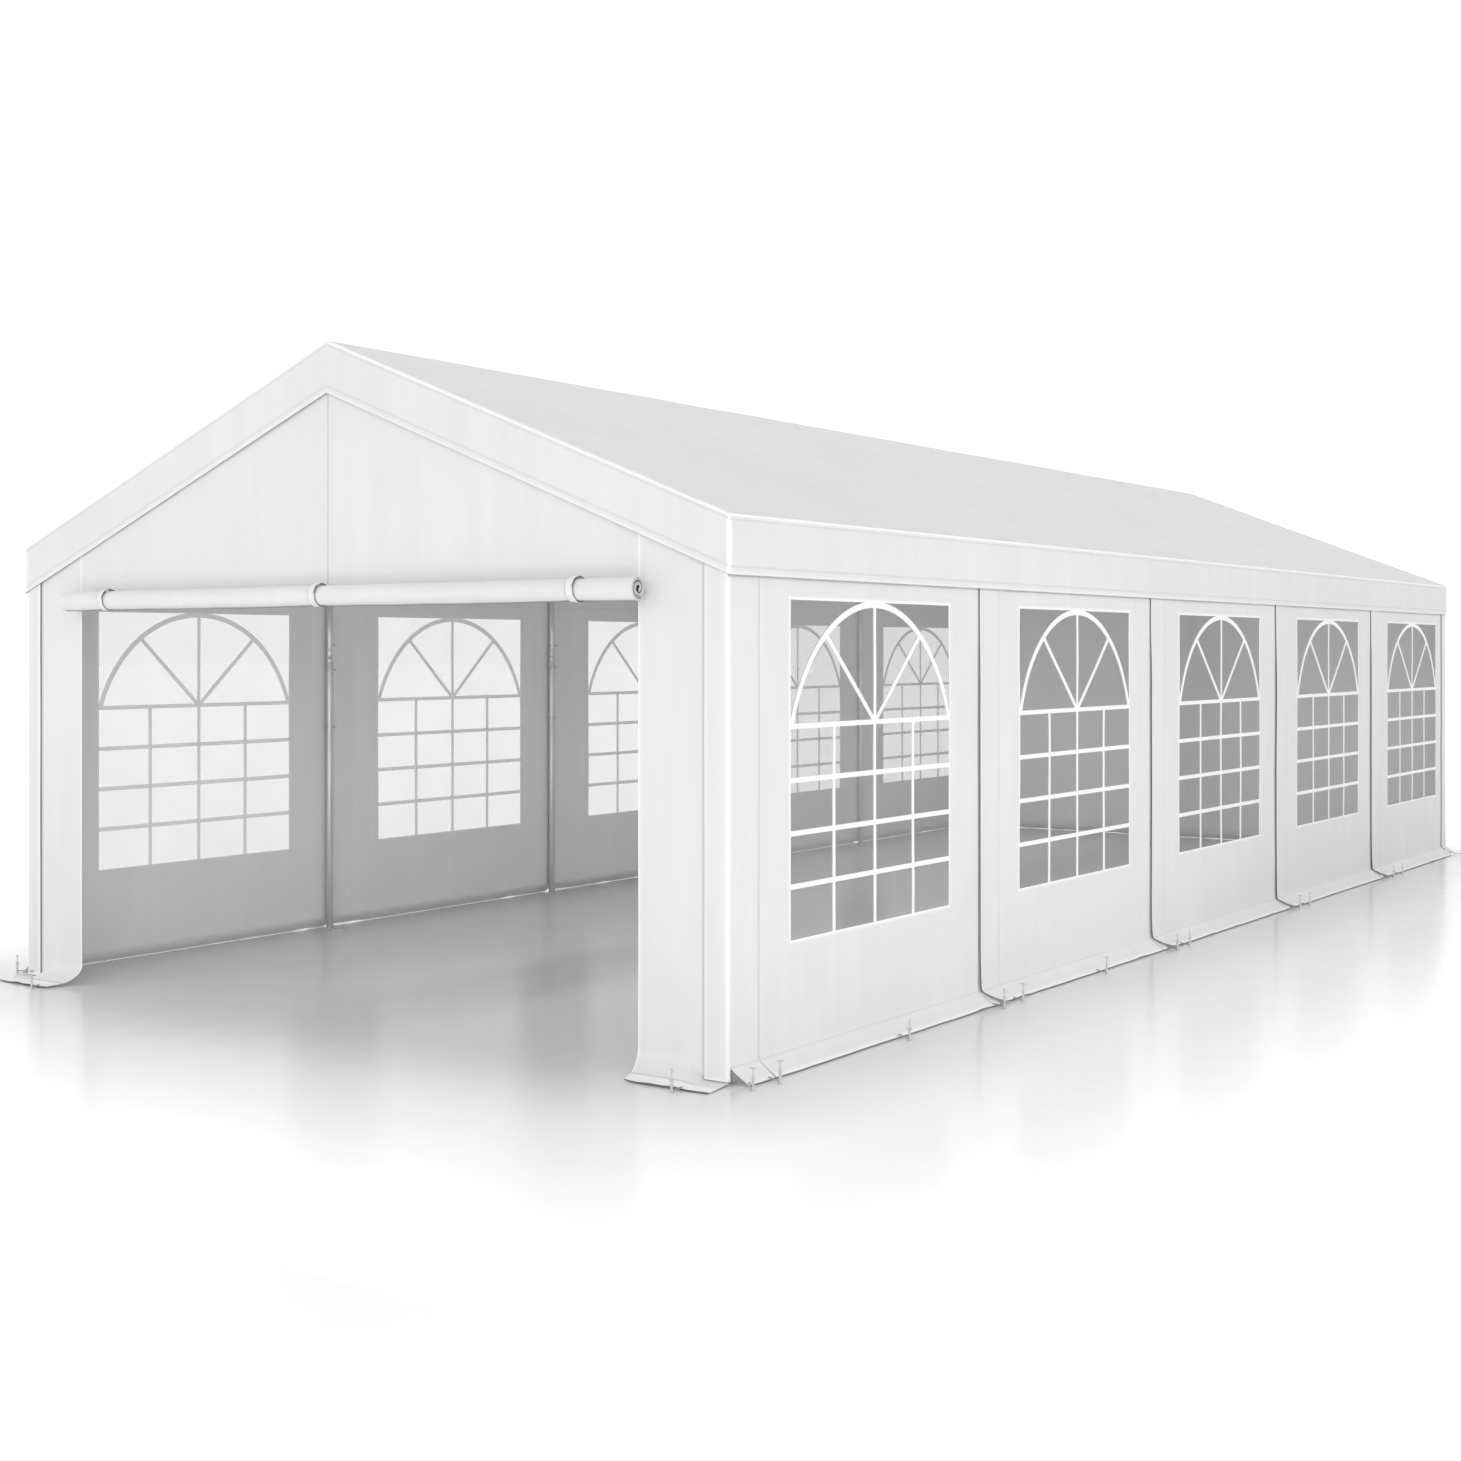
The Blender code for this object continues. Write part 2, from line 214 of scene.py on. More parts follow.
def tarpaulin(name):
    """PVC-coated polyester tarpaulin: a woven scrim shows through a smooth satin coat, with soft
    creases where it was folded in its bag. Real threads stand 1 mm apart; they are drawn 4 mm apart."""
    thread, crease, cloud, streak = 0.004, 0.35, 0.8, 0.09
    material, tree, shader = new_finish(name)
    cut = add_node(tree, "ShaderNodeUVMap", uv_map="cut").outputs["UV"]
    place = add_node(tree, "ShaderNodeTexCoord").outputs["Object"]
    threads = [
        add_node(
            tree,
            "ShaderNodeTexWave",
            {"Vector": cut, "Scale": WAVE_PERIOD / thread, "Distortion": 0.0},
            bands_direction=way,
            wave_profile="SIN",
        ).outputs["Fac"]
        for way in "XY"
    ]
    weave = add_node(tree, "ShaderNodeMath", {0: threads[0], 1: threads[1]}, operation="MULTIPLY")
    creases = add_node(
        tree, "ShaderNodeTexNoise", {"Vector": place, "Scale": 1 / crease, "Detail": 3.0, "Roughness": 0.55}
    )
    clouds = add_node(tree, "ShaderNodeTexNoise", {"Vector": place, "Scale": 1 / cloud, "Detail": 2.0})
    upright = add_node(tree, "ShaderNodeMapping", {"Vector": place, "Scale": (1 / streak, 1 / streak, 1.4)})
    streaks = add_node(tree, "ShaderNodeTexNoise", {"Vector": upright.outputs[0], "Scale": 1.0, "Detail": 2.0})
    mottle = add_node(
        tree, "ShaderNodeMath", {0: clouds.outputs["Fac"], 1: streaks.outputs["Fac"]}, operation="MULTIPLY"
    )
    spread = add_node(tree, "ShaderNodeMapRange", {"Value": mottle.outputs[0], "From Min": 0.12, "From Max": 0.40})
    clean = opaque(colours().cloth)
    tone = add_node(
        tree,
        "ShaderNodeMix",
        {"Factor": spread.outputs[0], 6: shade(colours().cloth, 0.955), 7: clean},
        data_type="RGBA",
    )
    lined = lined_colour(tree, tone.outputs[2], colours().cloth)
    tree.links.new(lined, shader.inputs["Base Color"])
    folds = add_node(
        tree, "ShaderNodeBump", {"Height": creases.outputs["Fac"], "Distance": 0.006, "Strength": 0.5}
    )
    drawn = add_node(
        tree,
        "ShaderNodeBump",
        {"Height": streaks.outputs["Fac"], "Distance": 0.0016, "Strength": 0.5, "Normal": folds.outputs[0]},
    )
    fine = add_node(
        tree,
        "ShaderNodeBump",
        {"Height": weave.outputs[0], "Distance": 0.0002, "Strength": 0.5, "Normal": drawn.outputs[0]},
    )
    tree.links.new(fine.outputs[0], shader.inputs["Normal"])
    rough = add_node(
        tree, "ShaderNodeMapRange", {"Value": creases.outputs["Fac"], "To Min": 0.48, "To Max": 0.62}
    )
    tree.links.new(rough.outputs[0], shader.inputs["Roughness"])
    shader.inputs["Specular IOR Level"].default_value = 0.35
    return material


def window_film(name):
    """Clear soft PVC film, cast and welded in: glossy, a little hazy, and wavy from being rolled up."""
    material, tree, shader = new_finish(name)
    place = add_node(tree, "ShaderNodeTexCoord").outputs["Object"]
    waves = add_node(tree, "ShaderNodeTexNoise", {"Vector": place, "Scale": 3.0, "Detail": 2.0})
    bump = add_node(tree, "ShaderNodeBump", {"Height": waves.outputs["Fac"], "Distance": 0.0012, "Strength": 0.5})
    tree.links.new(bump.outputs[0], shader.inputs["Normal"])
    haze = add_node(
        tree, "ShaderNodeMapRange", {"Value": waves.outputs["Fac"], "To Min": 0.18, "To Max": 0.23}
    )
    tree.links.new(haze.outputs[0], shader.inputs["Alpha"])
    shader.inputs["Base Color"].default_value = opaque(colours().film)
    shader.inputs["Roughness"].default_value = 0.16
    shader.inputs["IOR"].default_value = 1.53
    return material


def smooth_pvc(name):
    """White PVC strip, calendered and welded down: smooth with a faint orange-peel."""
    material, tree, shader = new_finish(name)
    place = add_node(tree, "ShaderNodeTexCoord").outputs["Object"]
    peel = add_node(tree, "ShaderNodeTexNoise", {"Vector": place, "Scale": 120.0, "Detail": 2.0})
    bump = add_node(tree, "ShaderNodeBump", {"Height": peel.outputs["Fac"], "Distance": 0.0004, "Strength": 0.4})
    tree.links.new(bump.outputs[0], shader.inputs["Normal"])
    tone = add_node(
        tree,
        "ShaderNodeMix",
        {"Factor": peel.outputs["Fac"], 6: shade(colours().strip, 0.96), 7: opaque(colours().strip)},
        data_type="RGBA",
    )
    tree.links.new(tone.outputs[2], shader.inputs["Base Color"])
    shader.inputs["Roughness"].default_value = 0.42
    return material


def webbing(name):
    """Polyester webbing, woven flat in a herringbone: matt, with ribs across it every 2 mm."""
    rib = 0.003
    material, tree, shader = new_finish(name)
    place = add_node(tree, "ShaderNodeTexCoord").outputs["Object"]
    ribs = add_node(
        tree,
        "ShaderNodeTexWave",
        {"Vector": place, "Scale": WAVE_PERIOD / rib, "Distortion": 0.4},
        bands_direction="DIAGONAL",
    )
    bump = add_node(tree, "ShaderNodeBump", {"Height": ribs.outputs["Fac"], "Distance": 0.0006, "Strength": 0.6})
    tree.links.new(bump.outputs[0], shader.inputs["Normal"])
    tone = add_node(
        tree,
        "ShaderNodeMix",
        {"Factor": ribs.outputs["Fac"], 6: shade(colours().webbing, 0.90), 7: opaque(colours().webbing)},
        data_type="RGBA",
    )
    tree.links.new(lined_colour(tree, tone.outputs[2], colours().webbing), shader.inputs["Base Color"])
    shader.inputs["Roughness"].default_value = 0.85
    return material


def galvanised_steel(name):
    """Hot-dip galvanised steel tube: zinc crystals about 12 mm across, each a slightly different grey."""
    crystal = 0.012
    material, tree, shader = new_finish(name)
    place = add_node(tree, "ShaderNodeTexCoord").outputs["Object"]
    spangle = add_node(tree, "ShaderNodeTexVoronoi", {"Vector": place, "Scale": 1 / crystal, "Randomness": 1.0})
    grey = add_node(tree, "ShaderNodeSeparateColor", {"Color": spangle.outputs["Color"]}).outputs["Red"]
    tone = add_node(
        tree,
        "ShaderNodeMix",
        {"Factor": grey, 6: shade(colours().steel, 0.97), 7: opaque(colours().steel)},
        data_type="RGBA",
    )
    tree.links.new(tone.outputs[2], shader.inputs["Base Color"])
    rough = add_node(tree, "ShaderNodeMapRange", {"Value": grey, "To Min": 0.3, "To Max": 0.36})
    tree.links.new(rough.outputs[0], shader.inputs["Roughness"])
    bump = add_node(
        tree, "ShaderNodeBump", {"Height": spangle.outputs["Distance"], "Distance": 0.0001, "Strength": 0.04}
    )
    tree.links.new(bump.outputs[0], shader.inputs["Normal"])
    shader.inputs["Metallic"].default_value = 1.0
    return material


def zinc_plate(name):
    """Bright zinc-plated steel, barrel plated: even, shiny, with fine handling marks."""
    material, tree, shader = new_finish(name)
    place = add_node(tree, "ShaderNodeTexCoord").outputs["Object"]
    marks = add_node(tree, "ShaderNodeTexNoise", {"Vector": place, "Scale": 180.0, "Detail": 4.0})
    tone = add_node(
        tree,
        "ShaderNodeMix",
        {"Factor": marks.outputs["Fac"], 6: shade(colours().zinc, 0.8), 7: opaque(colours().zinc)},
        data_type="RGBA",
    )
    tree.links.new(tone.outputs[2], shader.inputs["Base Color"])
    rough = add_node(tree, "ShaderNodeMapRange", {"Value": marks.outputs["Fac"], "To Min": 0.22, "To Max": 0.42})
    tree.links.new(rough.outputs[0], shader.inputs["Roughness"])
    shader.inputs["Metallic"].default_value = 1.0
    return material


def elastic_cord(name):
    """Elastic cord with a braided polyester sleeve: matt, with a fine diagonal braid."""
    braid = 0.002
    material, tree, shader = new_finish(name)
    place = add_node(tree, "ShaderNodeTexCoord").outputs["Object"]
    plait = add_node(
        tree,
        "ShaderNodeTexWave",
        {"Vector": place, "Scale": WAVE_PERIOD / braid, "Distortion": 1.0},
        bands_direction="DIAGONAL",
    )
    tone = add_node(
        tree,
        "ShaderNodeMix",
        {"Factor": plait.outputs["Fac"], 6: shade(colours().elastic, 0.8), 7: opaque(colours().elastic)},
        data_type="RGBA",
    )
    tree.links.new(tone.outputs[2], shader.inputs["Base Color"])
    shader.inputs["Roughness"].default_value = 0.8
    return material


FOOTPRINT = (2.0, 5.0)


def studio_floor(name):
    """Painted studio floor: matt white with a slight sheen, which gives faint soft reflections.
    Its colour is painted darker round the tent as a painted contact shadow, and it glows more the further it is from
    the tent, painted light that keeps the far floor white."""
    material, tree, shader = new_finish(name)
    place = add_node(tree, "ShaderNodeTexCoord").outputs["Object"]
    grain = add_node(tree, "ShaderNodeTexNoise", {"Vector": place, "Scale": 6.0, "Detail": 3.0})
    rough = add_node(tree, "ShaderNodeMapRange", {"Value": grain.outputs["Fac"], "To Min": 0.17, "To Max": 0.23})
    tree.links.new(rough.outputs[0], shader.inputs["Roughness"])
    apart = [
        add_node(
            tree,
            "ShaderNodeMath",
            {0: add_node(tree, "ShaderNodeMath", {0: part}, operation="ABSOLUTE").outputs[0], 1: half},
            operation="SUBTRACT",
        ).outputs[0]
        for part, half in zip(add_node(tree, "ShaderNodeSeparateXYZ", {"Vector": place}).outputs, FOOTPRINT)
    ]
    outside = [add_node(tree, "ShaderNodeMath", {0: part, 1: 0.0}, operation="MAXIMUM").outputs[0] for part in apart]
    over = add_node(tree, "ShaderNodeCombineXYZ", {"X": outside[0], "Y": outside[1]})
    far = add_node(tree, "ShaderNodeVectorMath", {0: over.outputs[0]}, operation="LENGTH").outputs["Value"]
    # A painted contact shadow: the floor colour darkens within 0.9 m of the tent
    near = add_node(tree, "ShaderNodeMapRange", {"Value": far, "From Max": 0.9}, interpolation_type="SMOOTHSTEP")
    tone = add_node(
        tree,
        "ShaderNodeMix",
        {"Factor": near.outputs[0], 6: shade(colours().floor, 0.80), 7: opaque(colours().floor)},
        data_type="RGBA",
    )
    tree.links.new(tone.outputs[2], shader.inputs["Base Color"])
    # Painted light: the floor glows, from nothing at the tent to its full glow 2.2 m away
    glow = add_node(
        tree, "ShaderNodeMapRange", {"Value": far, "From Max": 2.2, "To Max": 0.21}, interpolation_type="SMOOTHSTEP"
    )
    tree.links.new(glow.outputs[0], shader.inputs["Emission Strength"])
    shader.inputs["Emission Color"].default_value = (1.0, 1.0, 1.0, 1.0)
    return material


def cloth_finish():
    return get_finish("PVC-coated polyester tarpaulin", tarpaulin)


def film_finish():
    return get_finish("clear soft PVC film", window_film)


def strip_finish():
    return get_finish("welded white PVC strip", smooth_pvc)


def webbing_finish():
    return get_finish("woven polyester webbing", webbing)


def steel_finish():
    return get_finish("hot-dip galvanised steel", galvanised_steel)


def zinc_finish():
    return get_finish("bright zinc-plated steel", zinc_plate)


def elastic_finish():
    return get_finish("braided elastic cord", elastic_cord)


# Mesh making


def smooth_ramp(value, low, high):
    """Goes smoothly from 0 at low to 1 at high."""
    share = min(1.0, max(0.0, (value - low) / (high - low)))
    return share * share * (3.0 - 2.0 * share)


def ridge(distance, width):
    """1 on a line, falling smoothly to 0 at a few widths from it."""
    return math.exp(-((distance / width) ** 2))


def lines(start, stop, step, marks=(), edges=()):
    """Grid lines from start to stop about a step apart, close together at each mark and free edge."""
    count = max(1, round((stop - start) / step))
    places = [start + (stop - start) * turn / count for turn in range(count + 1)]
    for mark in (*marks, *edges):
        places = [place for place in places if abs(place - mark) > 0.011 or place in (start, stop)]
    for mark in marks:
        places += [mark + shift for shift in (-0.008, -0.003, 0.0, 0.003, 0.008)]
    for edge in edges:
        places += [edge + way * reach for way in (-1, 1) for reach, _tone in EDGE_TONES]
    kept = []
    for place in sorted(places):
        if start <= place <= stop and (not kept or place - kept[-1] > 0.0008):
            kept.append(place)
    kept[-1] = stop
    return kept


# How dark a seam's line is: a weld in flat cloth, a stitched hem, and an edge with a shadow under it
FAINT, PLAIN, STRONG = 0.18, 0.4, 1.0

# A free edge seen across it: a painted shadow line at its cut side, then a painted highlight along its hem
EDGE_TONES = ((0.0, 0.8), (0.0014, 0.6), (0.003, -0.5), (0.009, -0.3), (0.015, 0.0))
# A skirt's lower edge: a painted contact shadow at its cut side, then a painted highlight along its hem
FOOT_TONES = ((0.0, 1.0), (0.0014, 1.0), (0.003, 0.9), (0.009, -0.9), (0.015, -0.4))
# A window's border: a painted highlight round the opening
BORDER_TONES = ((0.0, -1.0), (0.0014, -1.0), (0.003, -1.0), (0.009, -0.7), (0.015, 0.0))
# A doorway's edge: a painted highlight along its hem
DOOR_TONES = ((0.0, -1.0), (0.0014, -1.0), (0.003, -0.9), (0.009, -0.15), (0.015, 0.0))
# A corner strip's edge: a painted shadow line at its cut side, then a faint painted highlight
RETURN_TONES = ((0.0, 1.0), (0.0014, 0.1), (0.003, -0.4), (0.009, -0.2), (0.015, 0.0))


def tone_at(tones, reach):
    """The tone at a distance from an edge, between the ones listed."""
    for (near, tone), (far, after) in zip(tones, tones[1:]):
        if near - 0.0003 <= reach <= far:
            return tone + (after - tone) * max(0.0, reach - near) / (far - near)
    return 0.0


def stitching(seams=(), bands=(), edges=(), shines=()):
    """A sheet's relief at (u, v), as its height and its tone: above 0 dark, for weld lines and painted shadow, below 0
    a painted highlight.

    A seam is (axis, place, low, high, dark): a groove across u or v at a place, between low and high, drawn dark as a
    weld line or as a painted shadow line under or beside another edge.
    A band is (u low, u high, v low, v high): doubled cloth.
    An edge is (axis, place, way, low, high, tones): a free edge, with the cloth to its - or + side, painted with
    shadow and highlight by its tones.
    A shine is (axis, low, high, strength): a painted highlight along a fold.
    """
    rise, depth, width, edge = sizes().hem_rise, sizes().seam_depth, 0.003, 0.003

    def relief(u, v):
        height = dark = bright = 0.0
        for axis, place, low, high, strength in seams:
            across, along = (u, v) if axis == "u" else (v, u)
            if low <= along <= high:
                line = ridge(across - place, width)
                height -= depth * line * (0.4 + 0.6 * strength)
                dark = max(dark, line * strength)
        for u_low, u_high, v_low, v_high in bands:
            inside = smooth_ramp(u, u_low - edge, u_low + edge) * smooth_ramp(-u, -u_high - edge, -u_high + edge)
            inside *= smooth_ramp(v, v_low - edge, v_low + edge) * smooth_ramp(-v, -v_high - edge, -v_high + edge)
            height += rise * inside
        for axis, place, way, low, high, tones in edges:
            across, along = (u, v) if axis == "u" else (v, u)
            if low <= along <= high:
                tone = tone_at(tones, way * (across - place))
                dark, bright = max(dark, tone), min(bright, tone)
        for axis, low, high, strength in shines:
            across = u if axis == "u" else v
            shine = smooth_ramp(across, low - 0.009, low) * smooth_ramp(-across, -high - 0.009, -high)
            bright = min(bright, -strength * shine)
        return height, dark if dark > 0.05 else bright

    return relief


def link_mesh(name, shape, finish):
    """A named object from a bmesh, which it uses up."""
    mesh = bpy.data.meshes.new(name)
    shape.to_mesh(mesh)
    shape.free()
    mesh.materials.append(finish)
    piece = bpy.data.objects.new(name, mesh)
    bpy.context.scene.collection.objects.link(piece)
    return piece


def settle(piece, angle=math.radians(38)):
    """Turns a piece with modifiers into a plain mesh with crisp edges where it turns sharply."""
    graph = bpy.context.evaluated_depsgraph_get()
    graph.update()
    mesh = bpy.data.meshes.new_from_object(
        piece.evaluated_get(graph), preserve_all_data_layers=True, depsgraph=graph
    )
    piece.modifiers.clear()
    rough_mesh, piece.data = piece.data, mesh
    bpy.data.meshes.remove(rough_mesh)
    mesh.name = piece.name
    mesh.shade_smooth()
    mesh.set_sharp_from_angle(angle=angle)
    return piece


# How much of a drawn line, painted shadow or painted highlight shows on the other side of the cloth
INSIDE_SHARE = 0.25


class Sheet:
    """Cloth laid out flat as (u, v) in metres, placed in the tent, and given its thickness."""

    def __init__(self):
        self.shape = bmesh.new()
        self.cut = self.shape.loops.layers.uv.new("cut")
        # seam holds each point's tone: weld lines and painted shadow above 0, painted highlight below 0
        self.seam = self.shape.verts.layers.float.new("seam")

    def add(self, us, vs, place, relief=None, holes=(), flip=False):
        """A grid of quads. place gives a point and its outward normal at (u, v)."""
        grid = []
        for u in us:
            column = []
            for v in vs:
                point, normal = place(u, v)
                height, dark = relief(u, v) if relief else (0.0, 0.0)
                vert = self.shape.verts.new(Vector(point) + Vector(normal) * height)
                vert[self.seam] = dark
                column.append(vert)
            grid.append(column)
        for i in range(len(us) - 1):
            for j in range(len(vs) - 1):
                u, v = (us[i] + us[i + 1]) / 2, (vs[j] + vs[j + 1]) / 2
                if any(a < u < b and c < v < d for a, b, c, d in holes):
                    continue
                corners = [(i, j), (i + 1, j), (i + 1, j + 1), (i, j + 1)]
                if flip:
                    corners.reverse()
                face = self.shape.faces.new([grid[a][b] for a, b in corners])
                for loop, (a, b) in zip(face.loops, corners):
                    loop[self.cut].uv = (us[a], vs[b])
        return self

    def sew(self, name, finish, thickness, inside=INSIDE_SHARE, painted_bright_below=0.0):
        """Joins the grids' shared edges and makes the object, its lines fainter on the inside, and its inside face
        below a given height painted bright, a painted highlight in the skirt's shaded recess.
        """
        loose = [vert for vert in self.shape.verts if not vert.link_faces]
        bmesh.ops.delete(self.shape, geom=loose, context="VERTS")
        bmesh.ops.remove_doubles(self.shape, verts=self.shape.verts, dist=0.0002)
        count = len(self.shape.verts)
        within = [index for index, vert in enumerate(self.shape.verts) if not vert.is_boundary]
        piece = link_mesh(name, self.shape, finish)
        solid = piece.modifiers.new("Thickness", "SOLIDIFY")
        solid.thickness = thickness
        solid.offset = -1.0
        solid.use_even_offset = True
        settle(piece)
        seam, verts = piece.data.attributes["seam"].data, piece.data.vertices
        for index in within:
            # Inside points below the given height get a painted highlight; the rest keep a share of their drawn lines
            # and painted shade
            low = verts[count + index].co.z < painted_bright_below
            seam[count + index].value = -1.0 if low else seam[count + index].value * inside
        return piece


def lathe(shape, start, axis, profile, sides=20):
    """A closed turned solid along an axis. profile is (distance along it, radius) from end to end."""
    axis = Vector(axis).normalized()
    side = axis.orthogonal().normalized()
    up = axis.cross(side)
    rings = []
    for along, radius in profile:
        centre = Vector(start) + axis * along
        turns = [2 * math.pi * turn / sides for turn in range(sides)]
        rings.append([shape.verts.new(centre + (side * math.cos(a) + up * math.sin(a)) * radius) for a in turns])
    for ring, after in zip(rings, rings[1:]):
        for k in range(sides):
            n = (k + 1) % sides
            shape.faces.new([ring[k], ring[n], after[n], after[k]])
    shape.faces.new(rings[0][::-1])
    shape.faces.new(rings[-1])


def crisp(piece, angle=math.radians(38)):
    piece.data.shade_smooth()
    piece.data.set_sharp_from_angle(angle=angle)
    return piece


def wave(x, y, z, size, seed=0.0):
    """Slow noise between about -1 and 1 with waves of one size, the same on every run."""
    return noise.noise(Vector((x / size + seed, y / size - seed, z / size + 2 * seed))) * 1.6


# Walls


CREASE = 0.06
CREASE_ROUND = 0.016
SKIRT_SLANT = math.atan2(CREASE - SKIRT_EDGE, SIDE_SKIRT)
SKIRT_LENGTH = math.hypot(CREASE - SKIRT_EDGE, SIDE_SKIRT)
FLAT_EDGE = 0.0029
LAP_REACH = 0.35
CORNER_ROUND = 0.014
REAR_STRIP = 0.12
STRIP_RISE = 0.0045


def wall_ripple(along, height):
    """How far a wall waves outward at one place, the same for every layer of it."""
    calm = smooth_ramp(-height, -1.86, -1.6)
    slow = wave(along, 0.3, height, 0.55) + 0.5 * wave(along, 4.3, height, 0.22)
    corner = smooth_ramp(abs(along), HALF_LENGTH - 0.45, HALF_LENGTH - 0.05)
    upright = 4.0 * wave(along, 2.2, height * 0.15, 0.085) * corner * smooth_ramp(-height, -0.9, -0.1)
    return sizes().ripple * calm * (slow + 0.7 * upright)


def panel_lean(bay, u):
    """How far a panel stands off the one that it laps over, near its free edge."""
    return LAP_STEP * smooth_ramp(-u, -LAP_REACH, -LAP) if bay else 0.0


def up_wall(v):
    """Height of a side wall at v along its cloth, above the skirt's crease."""
    return CREASE + v - SKIRT_LENGTH


def skirt_curve(v):
    """How far out and how high a side wall's lower part is at v."""
    past = v - SKIRT_LENGTH
    if past >= CREASE_ROUND:
        return 0.0, up_wall(v)
    if past <= -CREASE_ROUND:
        return -past * math.cos(SKIRT_SLANT), CREASE + past * math.sin(SKIRT_SLANT)
    t = (past + CREASE_ROUND) / (2 * CREASE_ROUND)
    out = CREASE_ROUND * math.cos(SKIRT_SLANT) * (1 - t) ** 2
    return out, CREASE - CREASE_ROUND * math.sin(SKIRT_SLANT) * (1 - t) ** 2 + CREASE_ROUND * t * t


def side_point(along, v, lean, flare, across, curl):
    """A point of a side wall's outer face and its outward normal."""
    out, height = skirt_curve(v)
    down = 1.0 - smooth_ramp(v, 0.0, SKIRT_LENGTH + CREASE_ROUND)
    plain = WRAP_FOOT + (CREASE + CREASE_ROUND - WRAP_FOOT) * v / (SKIRT_LENGTH + CREASE_ROUND)
    if v < SKIRT_LENGTH + CREASE_ROUND:
        loose = max(0.0, wave(along, 7.0, 0.0, 0.2) - 0.15)
        height += lean * down + curl * down + sizes().skirt_ripple * loose * down * flare
        height -= (SKIRT_EDGE - FLAT_EDGE) * down
        height = plain + (height - plain) * flare
        out -= 0.0015 * (1.0 + wave(along, 3.0, 0.0, 0.3)) * down
    x = HALF_WIDTH + lean + curl + wall_ripple(along, max(height, CREASE)) + out * flare
    tilt = flare * smooth_ramp(-v, -SKIRT_LENGTH - CREASE_ROUND, -SKIRT_LENGTH + CREASE_ROUND)
    turn = tilt * (math.pi / 2 - SKIRT_SLANT)
    return (across * x, along, height), (across * math.cos(turn), 0.0, math.sin(turn))


def corner_point(over, v, across, end):
    """A point where an end panel turns the corner, at a distance over past it."""
    straight = SKIRT_LENGTH + CREASE_ROUND
    height = up_wall(v) if v >= straight else WRAP_FOOT + (CREASE + CREASE_ROUND - WRAP_FOOT) * v / straight
    gable = HALF_LENGTH + LAP_STEP
    if over >= CORNER_ROUND:
        wavy = gable + gable_ripple(across * (HALF_WIDTH - over), height) * smooth_ramp(over, 0.02, 0.06)
        return (across * (HALF_WIDTH - over), end * wavy, height), (0.0, end, 0.0)
    turn = (over + CORNER_ROUND) / (2 * CORNER_ROUND) * math.pi / 2
    x = HALF_WIDTH - CORNER_ROUND + CORNER_ROUND * math.cos(turn)
    y = gable - CORNER_ROUND + CORNER_ROUND * math.sin(turn)
    return (across * x, end * y, height), (across * math.cos(turn), end * math.sin(turn), 0.0)


# The first flap of a skirt, from the corner to a slit
FLAP = 0.2


def panel_place(bay, across, part="wall"):
    """The function that places one side panel: u runs from its bay's start, v up from the skirt's edge.

    The skirt's parts are cut apart below the crease: "wrap" round a corner, "flap" and "strip" beside it.
    """
    start = -HALF_LENGTH + BAY * bay
    first, last = bay == 0, bay == BAYS - 1

    def place(u, v):
        if first and -u > -CORNER_ROUND and part in ("wall", "wrap"):
            return corner_point(-u, v, across, -1)
        if last and u - BAY > -CORNER_ROUND and part in ("wall", "wrap"):
            return corner_point(u - BAY, v, across, 1)
        flare = 0.0 if part == "wrap" else 1.0
        curl, along, low = 0.0, u, max(0.0, 1.0 - v / SKIRT_LENGTH)
        if part == "flap":
            along += low * (0.006 - 0.010 * smooth_ramp(u, 0.0, FLAP))
            curl = 0.003 * low * ridge(u, 0.06)
        if part == "skirt" and (first or last):
            along += 0.002 * low * (1 if first else -1)
        if not first and part != "strip":
            down = 1.0 - smooth_ramp(v, 0.05, 0.3)
            curl = sizes().lap_lift * ridge(u, 0.03) * smooth_ramp(-v, -1.75, -1.4) * (1.0 + down)
            along += rounded(v) * max(0.0, 1.0 - u / 0.3)
        if last:
            beyond = smooth_ramp(u, BAY - REAR_STRIP - 0.0006, BAY - REAR_STRIP + 0.0006)
            curl += STRIP_RISE * (beyond if part == "wall" else part == "strip")
            if part == "strip":
                along += 0.7 * rounded(v) * max(0.0, 1.0 - (u - BAY + REAR_STRIP) / 0.11)
                curl += 0.002 * low
        return side_point(start + along, v, panel_lean(bay, u), flare, across, curl)

    return place


def rounded(v):
    """How far the lower corner of a panel's free edge is cut back at v."""
    cut = max(0.0, 1.0 - v / (SKIRT_LENGTH + 0.06))
    return 0.10 * (1.0 - math.sqrt(max(0.0, 1.0 - cut * cut)))


